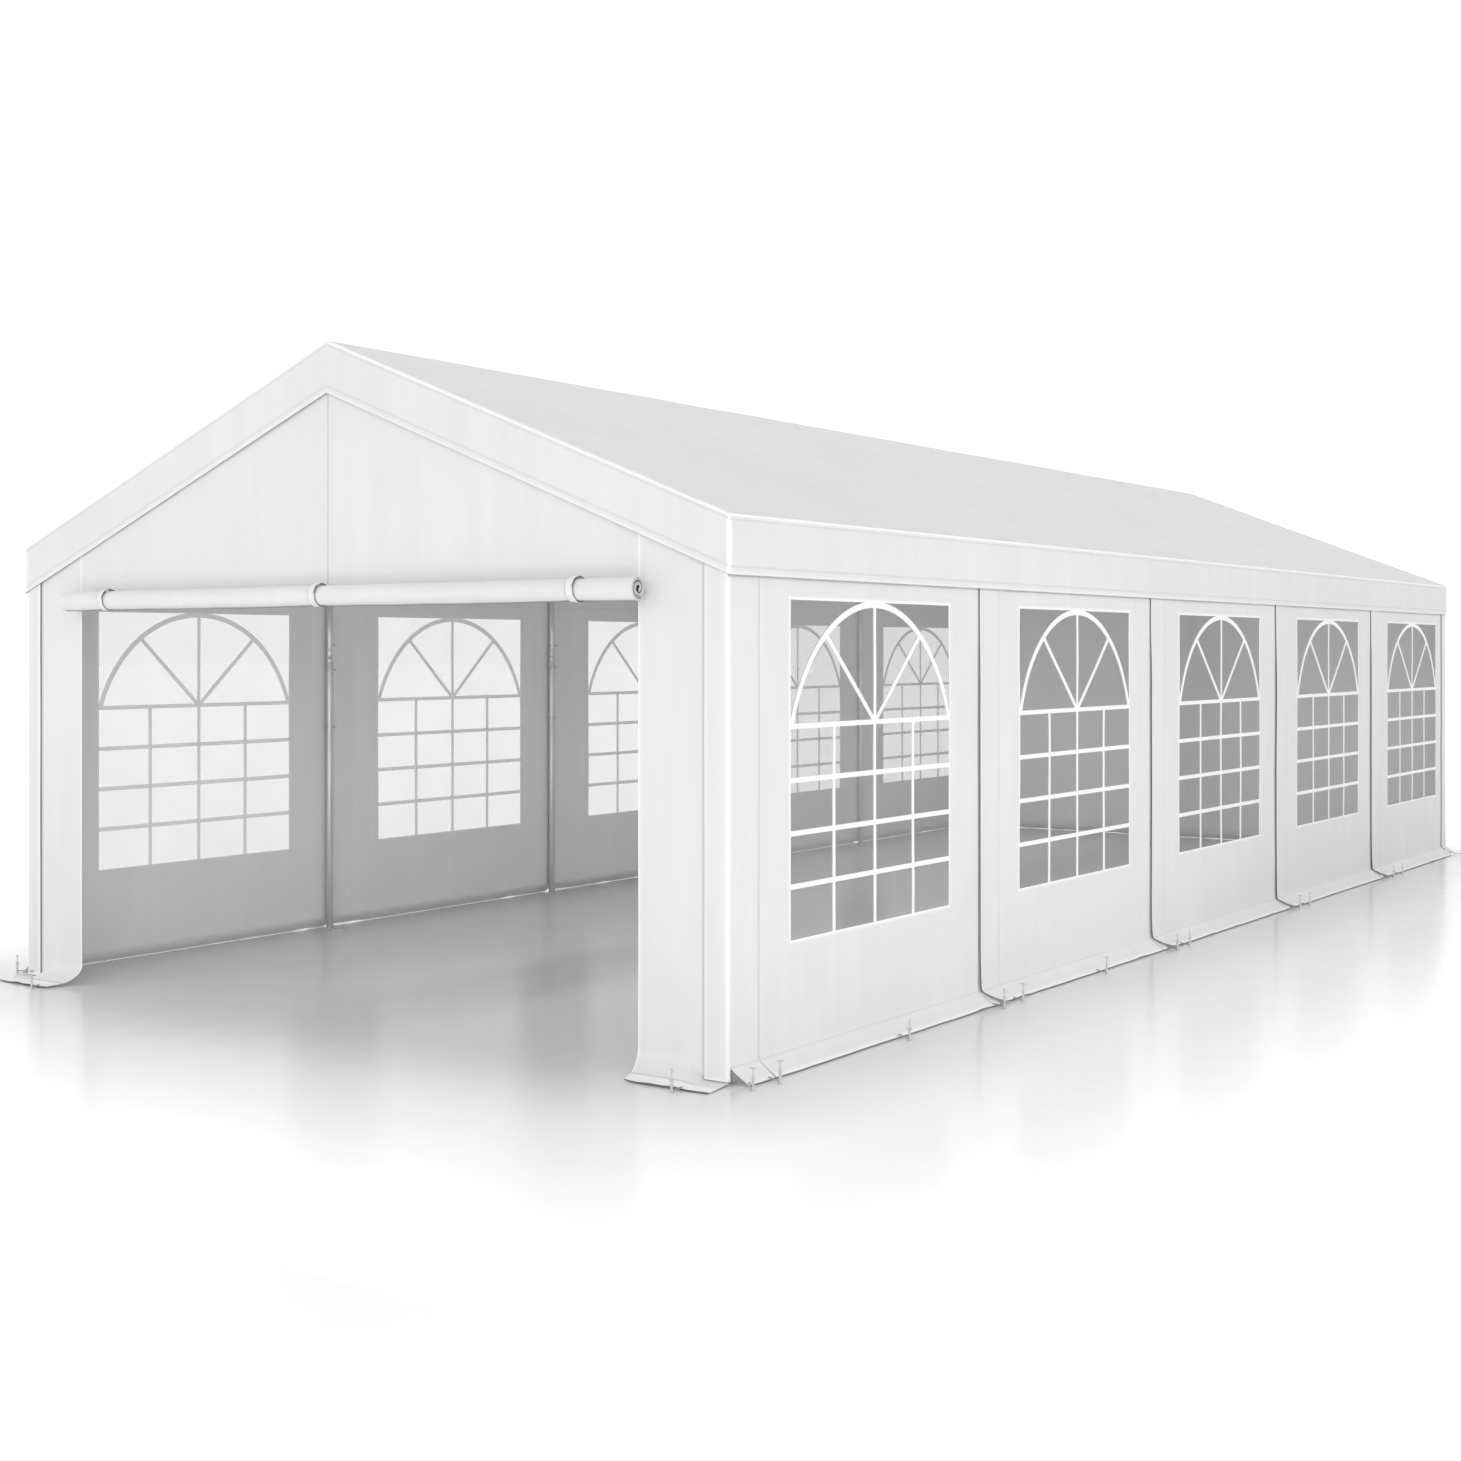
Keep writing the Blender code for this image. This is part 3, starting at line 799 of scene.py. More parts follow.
def panel_sheet(bay, across):
    """One side panel, with its width and height as cut."""
    first, last = bay == 0, bay == BAYS - 1
    near = -WRAP if first else 0.0
    far = BAY + WRAP if last else BAY + LAP
    rise = SKIRT_LENGTH - CREASE
    low, high = (rise + height for height in WINDOW[2:])
    top = rise + WALL_TOP
    hem, border = sizes().hem, 0.028
    left, right = WINDOW[:2]
    # A painted shadow line on the wall just below the valance's lower edge
    valance_shadow_line = rise + EAVES - VALANCE - 0.002
    seams = [("v", SKIRT_LENGTH, CORNER_ROUND if first else near, far, FAINT), ("v", valance_shadow_line, max(near, 0.0), min(far, BAY + LAP), 0.35)]
    seams.append(("u", FLAP, 0.0, top, PLAIN if first else FAINT))
    bands = [(near - 1, far + 1, -1, hem), (left - border, right + border, low - border, high + border)]
    # The skirt's foot gets a painted contact shadow and a painted highlight; the window's border a painted highlight
    edges = [("v", 0.0, 1, near, far, FOOT_TONES)]
    for place, way in ((left, -1), (right, 1)):
        edges.append(("u", place, way, low - 0.012, high + 0.012, BORDER_TONES))
    for place, way in ((low, -1), (high, 1)):
        edges.append(("v", place, way, left - 0.012, right + 0.012, BORDER_TONES))
    marks, shines = [FLAP, left - border, right + border], []
    if first:
        marks += [0.0, CORNER_ROUND, 0.03]
        # The corner strip's edge gets a painted shadow line and highlight, and the rounded corner a painted highlight
        edges.append(("u", near, 1, 0.0, top, FOOT_TONES if across < 0 else RETURN_TONES))
        shines.append(("u", -0.009, 0.007, 0.9))
    else:
        marks.append(hem)
        bands.append((near - 1, near + hem, -1, top + 1))
        seams += [("u", near + hem, 0.0, top, FAINT)]
        # The lapping free edge: a painted shadow line and a painted highlight along its hem
        edges.append(("u", near, 1, 0.0, top, EDGE_TONES))
    if last:
        marks += [BAY - CORNER_ROUND, BAY]
        # The rear strip's edges get painted shadow lines and highlights, the cloth beside the strip a painted shadow,
        # and the rear corner a painted highlight
        edges += [("u", BAY - REAR_STRIP, 1, 0.0, top, EDGE_TONES), ("u", far, -1, 0.0, top, RETURN_TONES)]
        seams += [("u", BAY - REAR_STRIP - reach, SKIRT_LENGTH, top, 1.0) for reach in (0.003, 0.008)]
        shines.append(("u", BAY - 0.007, BAY + 0.009, 0.9))
    else:
        marks.append(BAY)
        # A painted shadow where the next panel's free edge laps over this one
        seams.append(("u", BAY - 0.003, 0.0, top, 0.8))
    us = lines(near, far, 0.03, marks, (near, left, right, far, *([BAY - REAR_STRIP] if last else [])))
    crease = SKIRT_LENGTH + CREASE_ROUND
    vs = lines(0.0, top, 0.03, (hem, SKIRT_LENGTH, crease, low - border, high + border, valance_shadow_line), (0.0, low, high))
    us, vs = with_lines(us, [CORNER_ROUND, FLAP, BAY - REAR_STRIP, BAY - CORNER_ROUND]), with_lines(vs, [crease])
    relief = stitching(seams, bands, edges, shines)
    hole = (left, right, low, high)
    sheet = Sheet()
    parts = [("skirt", near, far)]
    if first:
        parts = [("wrap", near, CORNER_ROUND), ("flap", CORNER_ROUND, FLAP), ("skirt", FLAP, far)]
    if last:
        strip = BAY - REAR_STRIP
        parts = [("skirt", near, strip), ("strip", strip, BAY - CORNER_ROUND), ("wrap", BAY - CORNER_ROUND, far)]
    above, below = [v for v in vs if v >= crease], [v for v in vs if v <= crease]
    sheet.add(us, above, panel_place(bay, across), relief, holes=[hole], flip=across < 0)
    for part, start, stop in parts:
        run = [u for u in us if start <= u <= stop]
        sheet.add(run, below, panel_place(bay, across, part), relief, flip=across < 0)
    return sheet, far - near, top


def with_lines(places, wanted):
    """Grid lines with each wanted one put exactly in, in place of any too close to it."""
    low, high = places[0], places[-1]
    wanted = [place for place in wanted if low < place < high]
    kept = [place for place in places if all(abs(place - line) > 0.0009 for line in wanted)]
    return sorted({low, high, *kept, *wanted})


class TENT_OT_side_panels(bpy.types.Operator):
    """Ten wall panels with windows cut out, laps, hems and skirts"""

    bl_idname = "tent.side_panels"
    bl_label = "Side panels"

    def execute(self, context):
        for side, across in SIDES:
            for bay in range(BAYS):
                sheet, width, height = panel_sheet(bay, across)
                # The inside of each skirt, below its crease, is painted bright as a highlight
                piece = sheet.sew(f"side_wall_cloth_{side}_{bay + 1}", cloth_finish(), sizes().cloth, painted_bright_below=CREASE)
                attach(piece, BODY)
                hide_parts(f"side_panel_{side}_{bay + 1}")
        return {"FINISHED"}


# Windows


def window_nodes():
    """Flat strips along a drawing of lines in the XY plane: width and thickness are its inputs."""
    tree = bpy.data.node_groups.new("Window strips", "GeometryNodeTree")
    face = tree.interface
    face.new_socket("Geometry", in_out="INPUT", socket_type="NodeSocketGeometry")
    for name in ("Width", "Thickness"):
        face.new_socket(name, in_out="INPUT", socket_type="NodeSocketFloat")
    face.new_socket("Finish", in_out="INPUT", socket_type="NodeSocketMaterial")
    face.new_socket("Geometry", in_out="OUTPUT", socket_type="NodeSocketGeometry")
    given = add_node(tree, "NodeGroupInput").outputs
    curve = add_node(tree, "GeometryNodeMeshToCurve", {"Mesh": given["Geometry"]})
    level = add_node(tree, "GeometryNodeSetCurveNormal", {"Curve": curve.outputs[0]}, mode="Z_UP")
    section = add_node(
        tree, "GeometryNodeCurvePrimitiveQuadrilateral", {"Width": given["Width"], "Height": given["Thickness"]}
    )
    swept = add_node(
        tree,
        "GeometryNodeCurveToMesh",
        {"Curve": level.outputs[0], "Profile Curve": section.outputs[0], "Fill Caps": True},
    )
    real = add_node(tree, "GeometryNodeRealizeInstances", {"Geometry": swept.outputs[0]})
    painted = add_node(
        tree, "GeometryNodeSetMaterial", {"Geometry": real.outputs[0], "Material": given["Finish"]}
    )
    add_node(tree, "NodeGroupOutput", {"Geometry": painted.outputs[0]})
    return tree


def give_inputs(modifier, values):
    """Sets a Geometry Nodes modifier's inputs, found by name and set by identifier."""
    for item in modifier.node_group.interface.items_tree:
        if item.item_type == "SOCKET" and item.in_out == "INPUT" and item.name in values:
            modifier[item.identifier] = values[item.name]


def grown(name, shape, tree, values, finish):
    """A plain mesh piece grown by a node tree from a drawing of points or lines."""
    piece = link_mesh(name, shape, finish)
    modifier = piece.modifiers.new("Grow", "NODES")
    modifier.node_group = tree
    give_inputs(modifier, values)
    return settle(piece, math.radians(30))


def cord_nodes(name):
    """A round cord along a drawing of lines: its radius is an input."""
    tree = bpy.data.node_groups.new(name, "GeometryNodeTree")
    face = tree.interface
    face.new_socket("Geometry", in_out="INPUT", socket_type="NodeSocketGeometry")
    face.new_socket("Radius", in_out="INPUT", socket_type="NodeSocketFloat")
    face.new_socket("Finish", in_out="INPUT", socket_type="NodeSocketMaterial")
    face.new_socket("Geometry", in_out="OUTPUT", socket_type="NodeSocketGeometry")
    given = add_node(tree, "NodeGroupInput").outputs
    curve = add_node(tree, "GeometryNodeMeshToCurve", {"Mesh": given["Geometry"]})
    section = add_node(tree, "GeometryNodeCurvePrimitiveCircle", {"Resolution": 8, "Radius": given["Radius"]})
    swept = add_node(
        tree,
        "GeometryNodeCurveToMesh",
        {"Curve": curve.outputs[0], "Profile Curve": section.outputs[0], "Fill Caps": True},
    )
    real = add_node(tree, "GeometryNodeRealizeInstances", {"Geometry": swept.outputs[0]})
    painted = add_node(
        tree, "GeometryNodeSetMaterial", {"Geometry": real.outputs[0], "Material": given["Finish"]}
    )
    add_node(tree, "NodeGroupOutput", {"Geometry": painted.outputs[0]})
    return tree


def draw_path(shape, points):
    verts = [shape.verts.new(point) for point in points]
    for one, after in zip(verts, verts[1:]):
        shape.edges.new((one, after))


BAR_HEIGHTS = (0.67, 0.87, 1.07)
SPRING_BAR = 1.273
ARCH_CENTRE = 1.07
ARCH_RADIUS = 0.672


def window_paths():
    """Lines of the straight bars, and of the arch, as (u, z) points."""
    left, right, low, _head = WINDOW
    middle, width = (left + right) / 2, right - left
    quarter = width / 4
    bars = [[(left, z), (right, z)] for z in (*BAR_HEIGHTS, SPRING_BAR)]
    bars += [[(left + quarter * k, low), (left + quarter * k, SPRING_BAR)] for k in (1, 3)]
    bars.append([(middle, low), (middle, ARCH_CENTRE + ARCH_RADIUS)])
    for way in (-1, 1):
        bars.append([(middle, SPRING_BAR), arch_meets(middle, way)])
    rise = SPRING_BAR - ARCH_CENTRE
    half = math.acos(rise / ARCH_RADIUS)
    turns = [-half + 2 * half * k / 48 for k in range(49)]
    arch = [(middle + ARCH_RADIUS * math.sin(t), ARCH_CENTRE + ARCH_RADIUS * math.cos(t)) for t in turns]
    return bars, arch


def arch_meets(middle, way):
    """Where a slanting bar from the middle of the spring bar meets the arch."""
    rise = SPRING_BAR - ARCH_CENTRE
    lean = math.radians(48)
    across, up = math.sin(lean), math.cos(lean)
    reach = -rise * up + math.sqrt((rise * up) ** 2 + ARCH_RADIUS**2 - rise**2)
    return (middle + way * reach * across, SPRING_BAR + reach * up)


class TENT_OT_windows(bpy.types.Operator):
    """Ten films with their white arched bars"""

    bl_idname = "tent.windows"
    bl_label = "Windows"

    def execute(self, context):
        tree = window_nodes()
        bars, arch = window_paths()
        for side, across in SIDES:
            for bay in range(BAYS):
                self.make_film(bay, side, across)
                self.make_bars(bay, side, across, tree, bars, arch)
        return {"FINISHED"}

    def make_film(self, bay, side, across):
        start = -HALF_LENGTH + BAY * bay
        inset = sizes().cloth / 2 - 0.0005
        left, right, low, head = WINDOW
        tuck = 0.0

        def place(u, z):
            x = HALF_WIDTH + panel_lean(bay, u) + wall_ripple(start + u, z) - inset
            return (across * x, start + u, z), (across, 0.0, 0.0)

        us, zs = lines(left - tuck, right + tuck, 0.04), lines(low - tuck, head + tuck, 0.04)
        film = Sheet().add(us, zs, place, flip=across < 0)
        film = film.sew(f"clear_film_{side}_{bay + 1}", film_finish(), 0.001)
        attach(film, BODY)
        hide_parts(f"window_film_{side}_{bay + 1}")

    def make_bars(self, bay, side, across, tree, bars, arch):
        start = -HALF_LENGTH + BAY * bay
        straight, curved = bmesh.new(), bmesh.new()
        for path in bars:
            (u0, z0), (u1, z1) = path
            steps = max(4, round(math.hypot(u1 - u0, z1 - z0) / 0.03))
            draw_path(straight, [(u0 + (u1 - u0) * k / steps, z0 + (z1 - z0) * k / steps, 0.0) for k in range(steps + 1)])
        draw_path(curved, [(u, z, 0.0) for u, z in arch])
        thick = 0.0032
        parts = [
            grown("bars", straight, tree, {"Width": sizes().bar_width, "Thickness": thick, "Finish": strip_finish()}, strip_finish()),
            grown("arch", curved, tree, {"Width": sizes().arch_width, "Thickness": thick + 0.0006, "Finish": strip_finish()}, strip_finish()),
        ]
        shape = bmesh.new()
        for part in parts:
            shape.from_mesh(part.data)
            bpy.data.objects.remove(part)
        inset = sizes().cloth / 2
        for vert in shape.verts:
            u, z, out = vert.co
            u = min(max(u, WINDOW[0] - 0.001), WINDOW[1] + 0.001)
            x = HALF_WIDTH + panel_lean(bay, u) + wall_ripple(start + u, z) - inset + out
            vert.co = (across * x, start + u, z)
        bmesh.ops.remove_doubles(shape, verts=shape.verts, dist=0.00001)
        bmesh.ops.recalc_face_normals(shape, faces=shape.faces)
        piece = crisp(link_mesh(f"window_bars_{side}_{bay + 1}", shape, strip_finish()))
        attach(piece, BODY)


# Roof


def roof_height(x):
    return RIDGE - RIDGE_RISE * abs(x)


def roof_sag(x, y):
    """How far the cover hangs below its straight slope between two frames."""
    spans = list(zip(FRAME_YS, FRAME_YS[1:]))
    here = next(((low, high) for low, high in spans if low <= y <= high), None)
    if here is None:
        return 0.0
    share = (y - here[0]) / (here[1] - here[0])
    down = abs(x) / COVER_X
    return sizes().sag * math.sin(math.pi * share) ** 2 * math.sin(math.pi * min(1.0, down)) ** 0.8


PIPING_PROUD = 0.0016


class TENT_OT_roof_cover(bpy.types.Operator):
    """Roof cover with its valances, hems and welded seams"""

    bl_idname = "tent.roof_cover"
    bl_label = "Roof cover"

    def execute(self, context):
        hem, edge = 0.03, 0.05
        half = COVER_X / math.cos(SLOPE)
        slope_us = lines(-half, half, 0.07, (-half + 0.02, -0.012, 0.012, half - 0.02))
        slope_us = sorted(set([-half, *[u for u in slope_us if abs(u) > 0.004], 0.0, half]))
        ys = lines(-COVER_Y, COVER_Y, 0.07, (-COVER_Y + 0.02, COVER_Y - 0.02))
        sheet = Sheet()

        def on_slope(u, y):
            x = u * math.cos(SLOPE)
            sag = roof_sag(x, y) + 0.0012 * wave(x, y, 0.0, 0.5) * smooth_ramp(COVER_X - abs(x), 0.0, 0.2)
            way = 1 if u >= 0 else -1
            normal = (0.0, 0.0, 1.0) if u == 0 else (way * math.sin(SLOPE), 0.0, math.cos(SLOPE))
            return (x, y, roof_height(x) - sag), normal

        seams = [("u", place, -COVER_Y, COVER_Y, FAINT) for place in (-half + 0.02, half - 0.02)]
        sheet.add(slope_us, ys, on_slope, stitching(seams), flip=False)
        drops = lines(0.0, VALANCE, 0.035, (edge * 0.4, VALANCE - hem), (VALANCE,))
        weld_lines = [("v", edge * 0.4, -9, 9, FAINT), ("v", VALANCE - hem, -9, 9, FAINT)]
        # The valance's lower edge gets a painted shadow line and a painted highlight along its hem
        hems, lower_edge = [(-9, 9, VALANCE - hem, VALANCE + 1)], [("v", VALANCE, -1, -9, 9, EDGE_TONES)]

        def drop_relief(half_run):
            # Painted highlights along the valance's rounded corners and along its top
            shines = [("u", half_run - 0.012, 9, 0.9), ("u", -9, -half_run + 0.012, 0.9), ("v", -1, 0.006, 0.8)]
            return stitching(weld_lines, hems, lower_edge, shines)

        for across in (-1, 1):

            def on_eave(y, drop, across=across):
                loose = drop / VALANCE * smooth_ramp(COVER_Y - abs(y), 0.0, 0.3)
                out = COVER_X + 0.0025 * loose * wave(0.0, y, across, 0.6)
                return (across * out, y, EAVES - drop), (across, 0.0, 0.0)

            sheet.add(ys, drops, on_eave, drop_relief(COVER_Y), flip=across > 0)
        rake_xs = [u * math.cos(SLOPE) for u in slope_us]
        for end in (-1, 1):

            def on_rake(x, drop, end=end):
                loose = drop / VALANCE * smooth_ramp(COVER_X - abs(x), 0.0, 0.3)
                out = COVER_Y + 0.0025 * loose * wave(x, end, 5.0, 0.6)
                return (x, end * out, roof_height(x) - drop), (0.0, end, 0.0)

            sheet.add(rake_xs, drops, on_rake, drop_relief(COVER_X), flip=end < 0)
        piece = self.sew_round(sheet)
        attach(piece, BODY)
        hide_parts("roof_cover")
        self.make_piping()
        return {"FINISHED"}

    def make_piping(self):
        """Round piping welded along the eaves, the rakes and the valance's corners."""
        radius = sizes().piping
        x, y = COVER_X - radius + PIPING_PROUD, COVER_Y - radius + PIPING_PROUD
        eaves, top = EAVES - radius + PIPING_PROUD, RIDGE - radius + PIPING_PROUD
        shape = bmesh.new()
        for across in (-1, 1):
            draw_path(shape, [(across * x, -y + 2 * y * k / 40, eaves) for k in range(41)])
        for end in (-1, 1):
            turns = [-1 + k / 10 for k in range(21)]
            draw_path(shape, [(x * t, end * y, eaves + (top - eaves) * (1 - abs(t))) for t in turns])
            for across in (-1, 1):
                draw_path(shape, [(across * x, end * y, eaves - VALANCE * k / 6 * 0.97) for k in range(7)])
        piece = grown(
            "cover_piping", shape, cord_nodes("Piping"), {"Radius": radius, "Finish": strip_finish()}, strip_finish()
        )
        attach(piece, BODY)

    def sew_round(self, sheet):
        """Sews the cover with rounded edges along its eaves, rakes, ridge and corners."""
        shape = sheet.shape
        loose = [vert for vert in shape.verts if not vert.link_faces]
        bmesh.ops.delete(shape, geom=loose, context="VERTS")
        bmesh.ops.remove_doubles(shape, verts=shape.verts, dist=0.0015)
        shape.normal_update()
        folds = [e for e in shape.edges if len(e.link_faces) == 2 and e.calc_face_angle() > math.radians(30)]
        bmesh.ops.bevel(shape, geom=folds, offset=0.007, segments=4, profile=0.5, affect="EDGES", clamp_overlap=True)
        return sheet.sew("roof_cover_cloth", cloth_finish(), sizes().cloth)


# Gables


def gable_ripple(across, height):
    calm = smooth_ramp(-height, -1.8, -1.5)
    return 0.8 * sizes().ripple * wave(across, 9.0, height, 0.5) * calm


def under_cover(x):
    return roof_height(x) - COVER_GAP - 0.0003


END_FOOT_LENGTH = 0.215
END_CREASE = 0.075
# How much of an end wall's foot lies flat
FLAT_FOOT = 0.075


def gable_wall(across, end):
    """Cloth beside a doorway with a flap that lies out on the ground: u from the doorway, v up."""
    door, edge = DOOR_HALF, HALF_WIDTH - 0.0043
    width = edge - door
    wrapped = edge - WRAP

    def place(u, v):
        x = door + u
        low_crease = smooth_ramp(x, wrapped - 0.05, wrapped + 0.01)
        crease = END_CREASE + (0.007 - END_CREASE) * low_crease
        shape_y = HALF_LENGTH + gable_ripple(across * x, max(crease, v)) * (1 - low_crease)
        top = under_cover(x)
        tall = top - crease
        if v >= END_FOOT_LENGTH:
            share = (v - END_FOOT_LENGTH) / (under_cover(door) - END_CREASE)
            return (across * x, end * shape_y, crease + tall * share), (0.0, end, 0.0)
        t = v / END_FOOT_LENGTH
        reach = END_SKIRT * (1.0 - 0.06 * smooth_ramp(x, wrapped, edge)) - 0.004 * (1 + wave(x, 2.0, end, 0.12))
        lift = 0.003 * (1.0 + wave(x, t * 0.3, 8.0, 0.1))
        y = HALF_LENGTH + reach * (1 - t) ** 2 + 0.22 * reach * 2 * t * (1 - t)
        z = (SKIRT_EDGE + lift * (1 - low_crease)) * (1 - t) ** 2 + 2 * t * (1 - t) * (0.006 + lift) + crease * t * t
        spread = (1 - t) ** 1.5 * (0.055 - 0.035 * u / width)
        tilt = (1 - t) ** 1.2
        return (across * (x + spread), end * y, z), Vector((0.0, end * (1 - 0.9 * tilt), 0.05 + tilt)).normalized()

    total = END_FOOT_LENGTH + under_cover(door) - END_CREASE
    hem = sizes().hem
    # The line beside the corner strip's edge is a painted shadow
    seams = [("v", FLAT_FOOT, -1, width - WRAP, PLAIN), ("u", width - WRAP - 0.003, 0.19, 9, 0.3)]
    bands = [(-1, 9, -1, hem), (-1, 0.012, -1, 9)]
    # The foot gets a painted contact shadow and highlight, the doorway's edge a painted highlight along its hem
    edges = [("v", 0.0, 1, -1, 9, FOOT_TONES), ("u", 0.0, 1, -1, 9, DOOR_TONES)]
    us = lines(0.0, width, 0.03, (width - WRAP,), (0.0,))
    vs = lines(0.0, total, 0.02, (hem, FLAT_FOOT), (0.0,))
    # A painted highlight along the flat part of the foot
    shines = [("v", 0.004, FLAT_FOOT - 0.012, 0.85)]
    sheet = Sheet().add(us, vs, place, stitching(seams, bands, edges, shines), flip=across * end > 0)
    return sheet, width, total


class TENT_OT_gables(bpy.types.Operator):
    """Gable ends: walls beside the doorways, the cloth above them and the zipped rear door"""

    bl_idname = "tent.gables"
    bl_label = "Gable ends"

    def execute(self, context):
        for end_name, end in (("front", -1), ("rear", 1)):
            for side, across in SIDES:
                sheet, width, height = gable_wall(across, end)
                piece = sheet.sew(f"{end_name}_wall_cloth_{side}", cloth_finish(), sizes().cloth)
                self.declare(piece, f"{end_name}_wall_{side}", (width, height), width * (height - 0.08), "hung")
            self.make_upper(end_name, end)
        self.make_door()
        return {"FINISHED"}

    def declare(self, piece, node, flat, area, held):
        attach(piece, BODY)
        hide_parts(node)

    def make_upper(self, end_name, end):
        half = DOOR_HALF
        tall = under_cover(0.0) - DOOR_HEAD

        def place(x, v):
            height = DOOR_HEAD + v * (under_cover(x) - DOOR_HEAD)
            out = HALF_LENGTH + gable_ripple(x, height) + 0.0008 * smooth_ramp(half - abs(x), 0.0, 0.2)
            return (x, end * out, height), (0.0, end, 0.0)

        seams = [("u", 0.0, -1, 9, PLAIN), ("v", 0.07, -9, 9, FAINT)]
        bands = [(-9, 9, -1, 0.07), (-9, -half + 0.03, -1, 9), (half - 0.03, 9, -1, 9)]
        us = lines(-half, half, 0.05, (-half + 0.03, 0.0, half - 0.03))
        vs = lines(0.0, 1.0, 0.04, (0.07,))
        sheet = Sheet().add(us, vs, place, stitching(seams, bands), flip=end > 0)
        piece = sheet.sew(f"{end_name}_gable_cloth", cloth_finish(), sizes().cloth)
        area = 2 * half * (under_cover(half) - DOOR_HEAD) + half * (under_cover(0.0) - under_cover(half))
        self.declare(piece, f"{end_name}_gable", (2 * half, tall), area, "stretched")

    def make_door(self):
        half = DOOR_HALF - 0.0003

        def place(x, v):
            crease = END_CREASE
            if v >= END_FOOT_LENGTH:
                height = crease + (v - END_FOOT_LENGTH)
                return (x, HALF_LENGTH + gable_ripple(x, height), height), (0.0, 1.0, 0.0)
            t = v / END_FOOT_LENGTH
            reach = END_SKIRT - 0.004 * (1 + wave(x, 2.0, 1.0, 0.12))
            lift = 0.003 * (1.0 + wave(x, t * 0.3, 8.0, 0.1))
            y = HALF_LENGTH + gable_ripple(x, crease) * t + reach * (1 - t) ** 2 + 0.22 * reach * 2 * t * (1 - t)
            z = (SKIRT_EDGE + lift) * (1 - t) ** 2 + 2 * t * (1 - t) * (0.006 + lift) + crease * t * t
            tilt = (1 - t) ** 1.2
            return (x, y, z), Vector((0.0, 1 - 0.9 * tilt, 0.05 + tilt)).normalized()

        total = END_FOOT_LENGTH + DOOR_HEAD - 0.0003 - END_CREASE
        hem = sizes().hem
        seams = [("v", hem, -9, 9, FAINT), ("u", -half + hem, -1, 9, PLAIN), ("u", half - hem, -1, 9, PLAIN)]
        seams.append(("u", 0.0, -1, 9, FAINT))
        bands = [(-9, 9, -1, hem), (-9, -half + hem, -1, 9), (half - hem, 9, -1, 9)]
        # The door's sides and foot get painted shadow lines and painted highlights along their hems
        edges = [("v", 0.0, 1, -9, 9, FOOT_TONES), ("u", -half, 1, -1, 9, EDGE_TONES), ("u", half, -1, -1, 9, EDGE_TONES)]
        us = lines(-half, half, 0.05, (-half + hem, 0.0, half - hem), (-half, half))
        vs = lines(0.0, total, 0.04, (hem,), (0.0,))
        sheet = Sheet().add(us, vs, place, stitching(seams, bands, edges), flip=True)
        piece = sheet.sew("rear_door_cloth", cloth_finish(), sizes().cloth)
        self.declare(piece, "rear_door", (2 * half, total), 2 * half * total, "hung")


# Rolled-up door


# Where the four layers of the folded door have their outer faces, from the middle of the fold
ROLL_FACES = (0.0041, 0.0003, -0.0003, -0.0041)


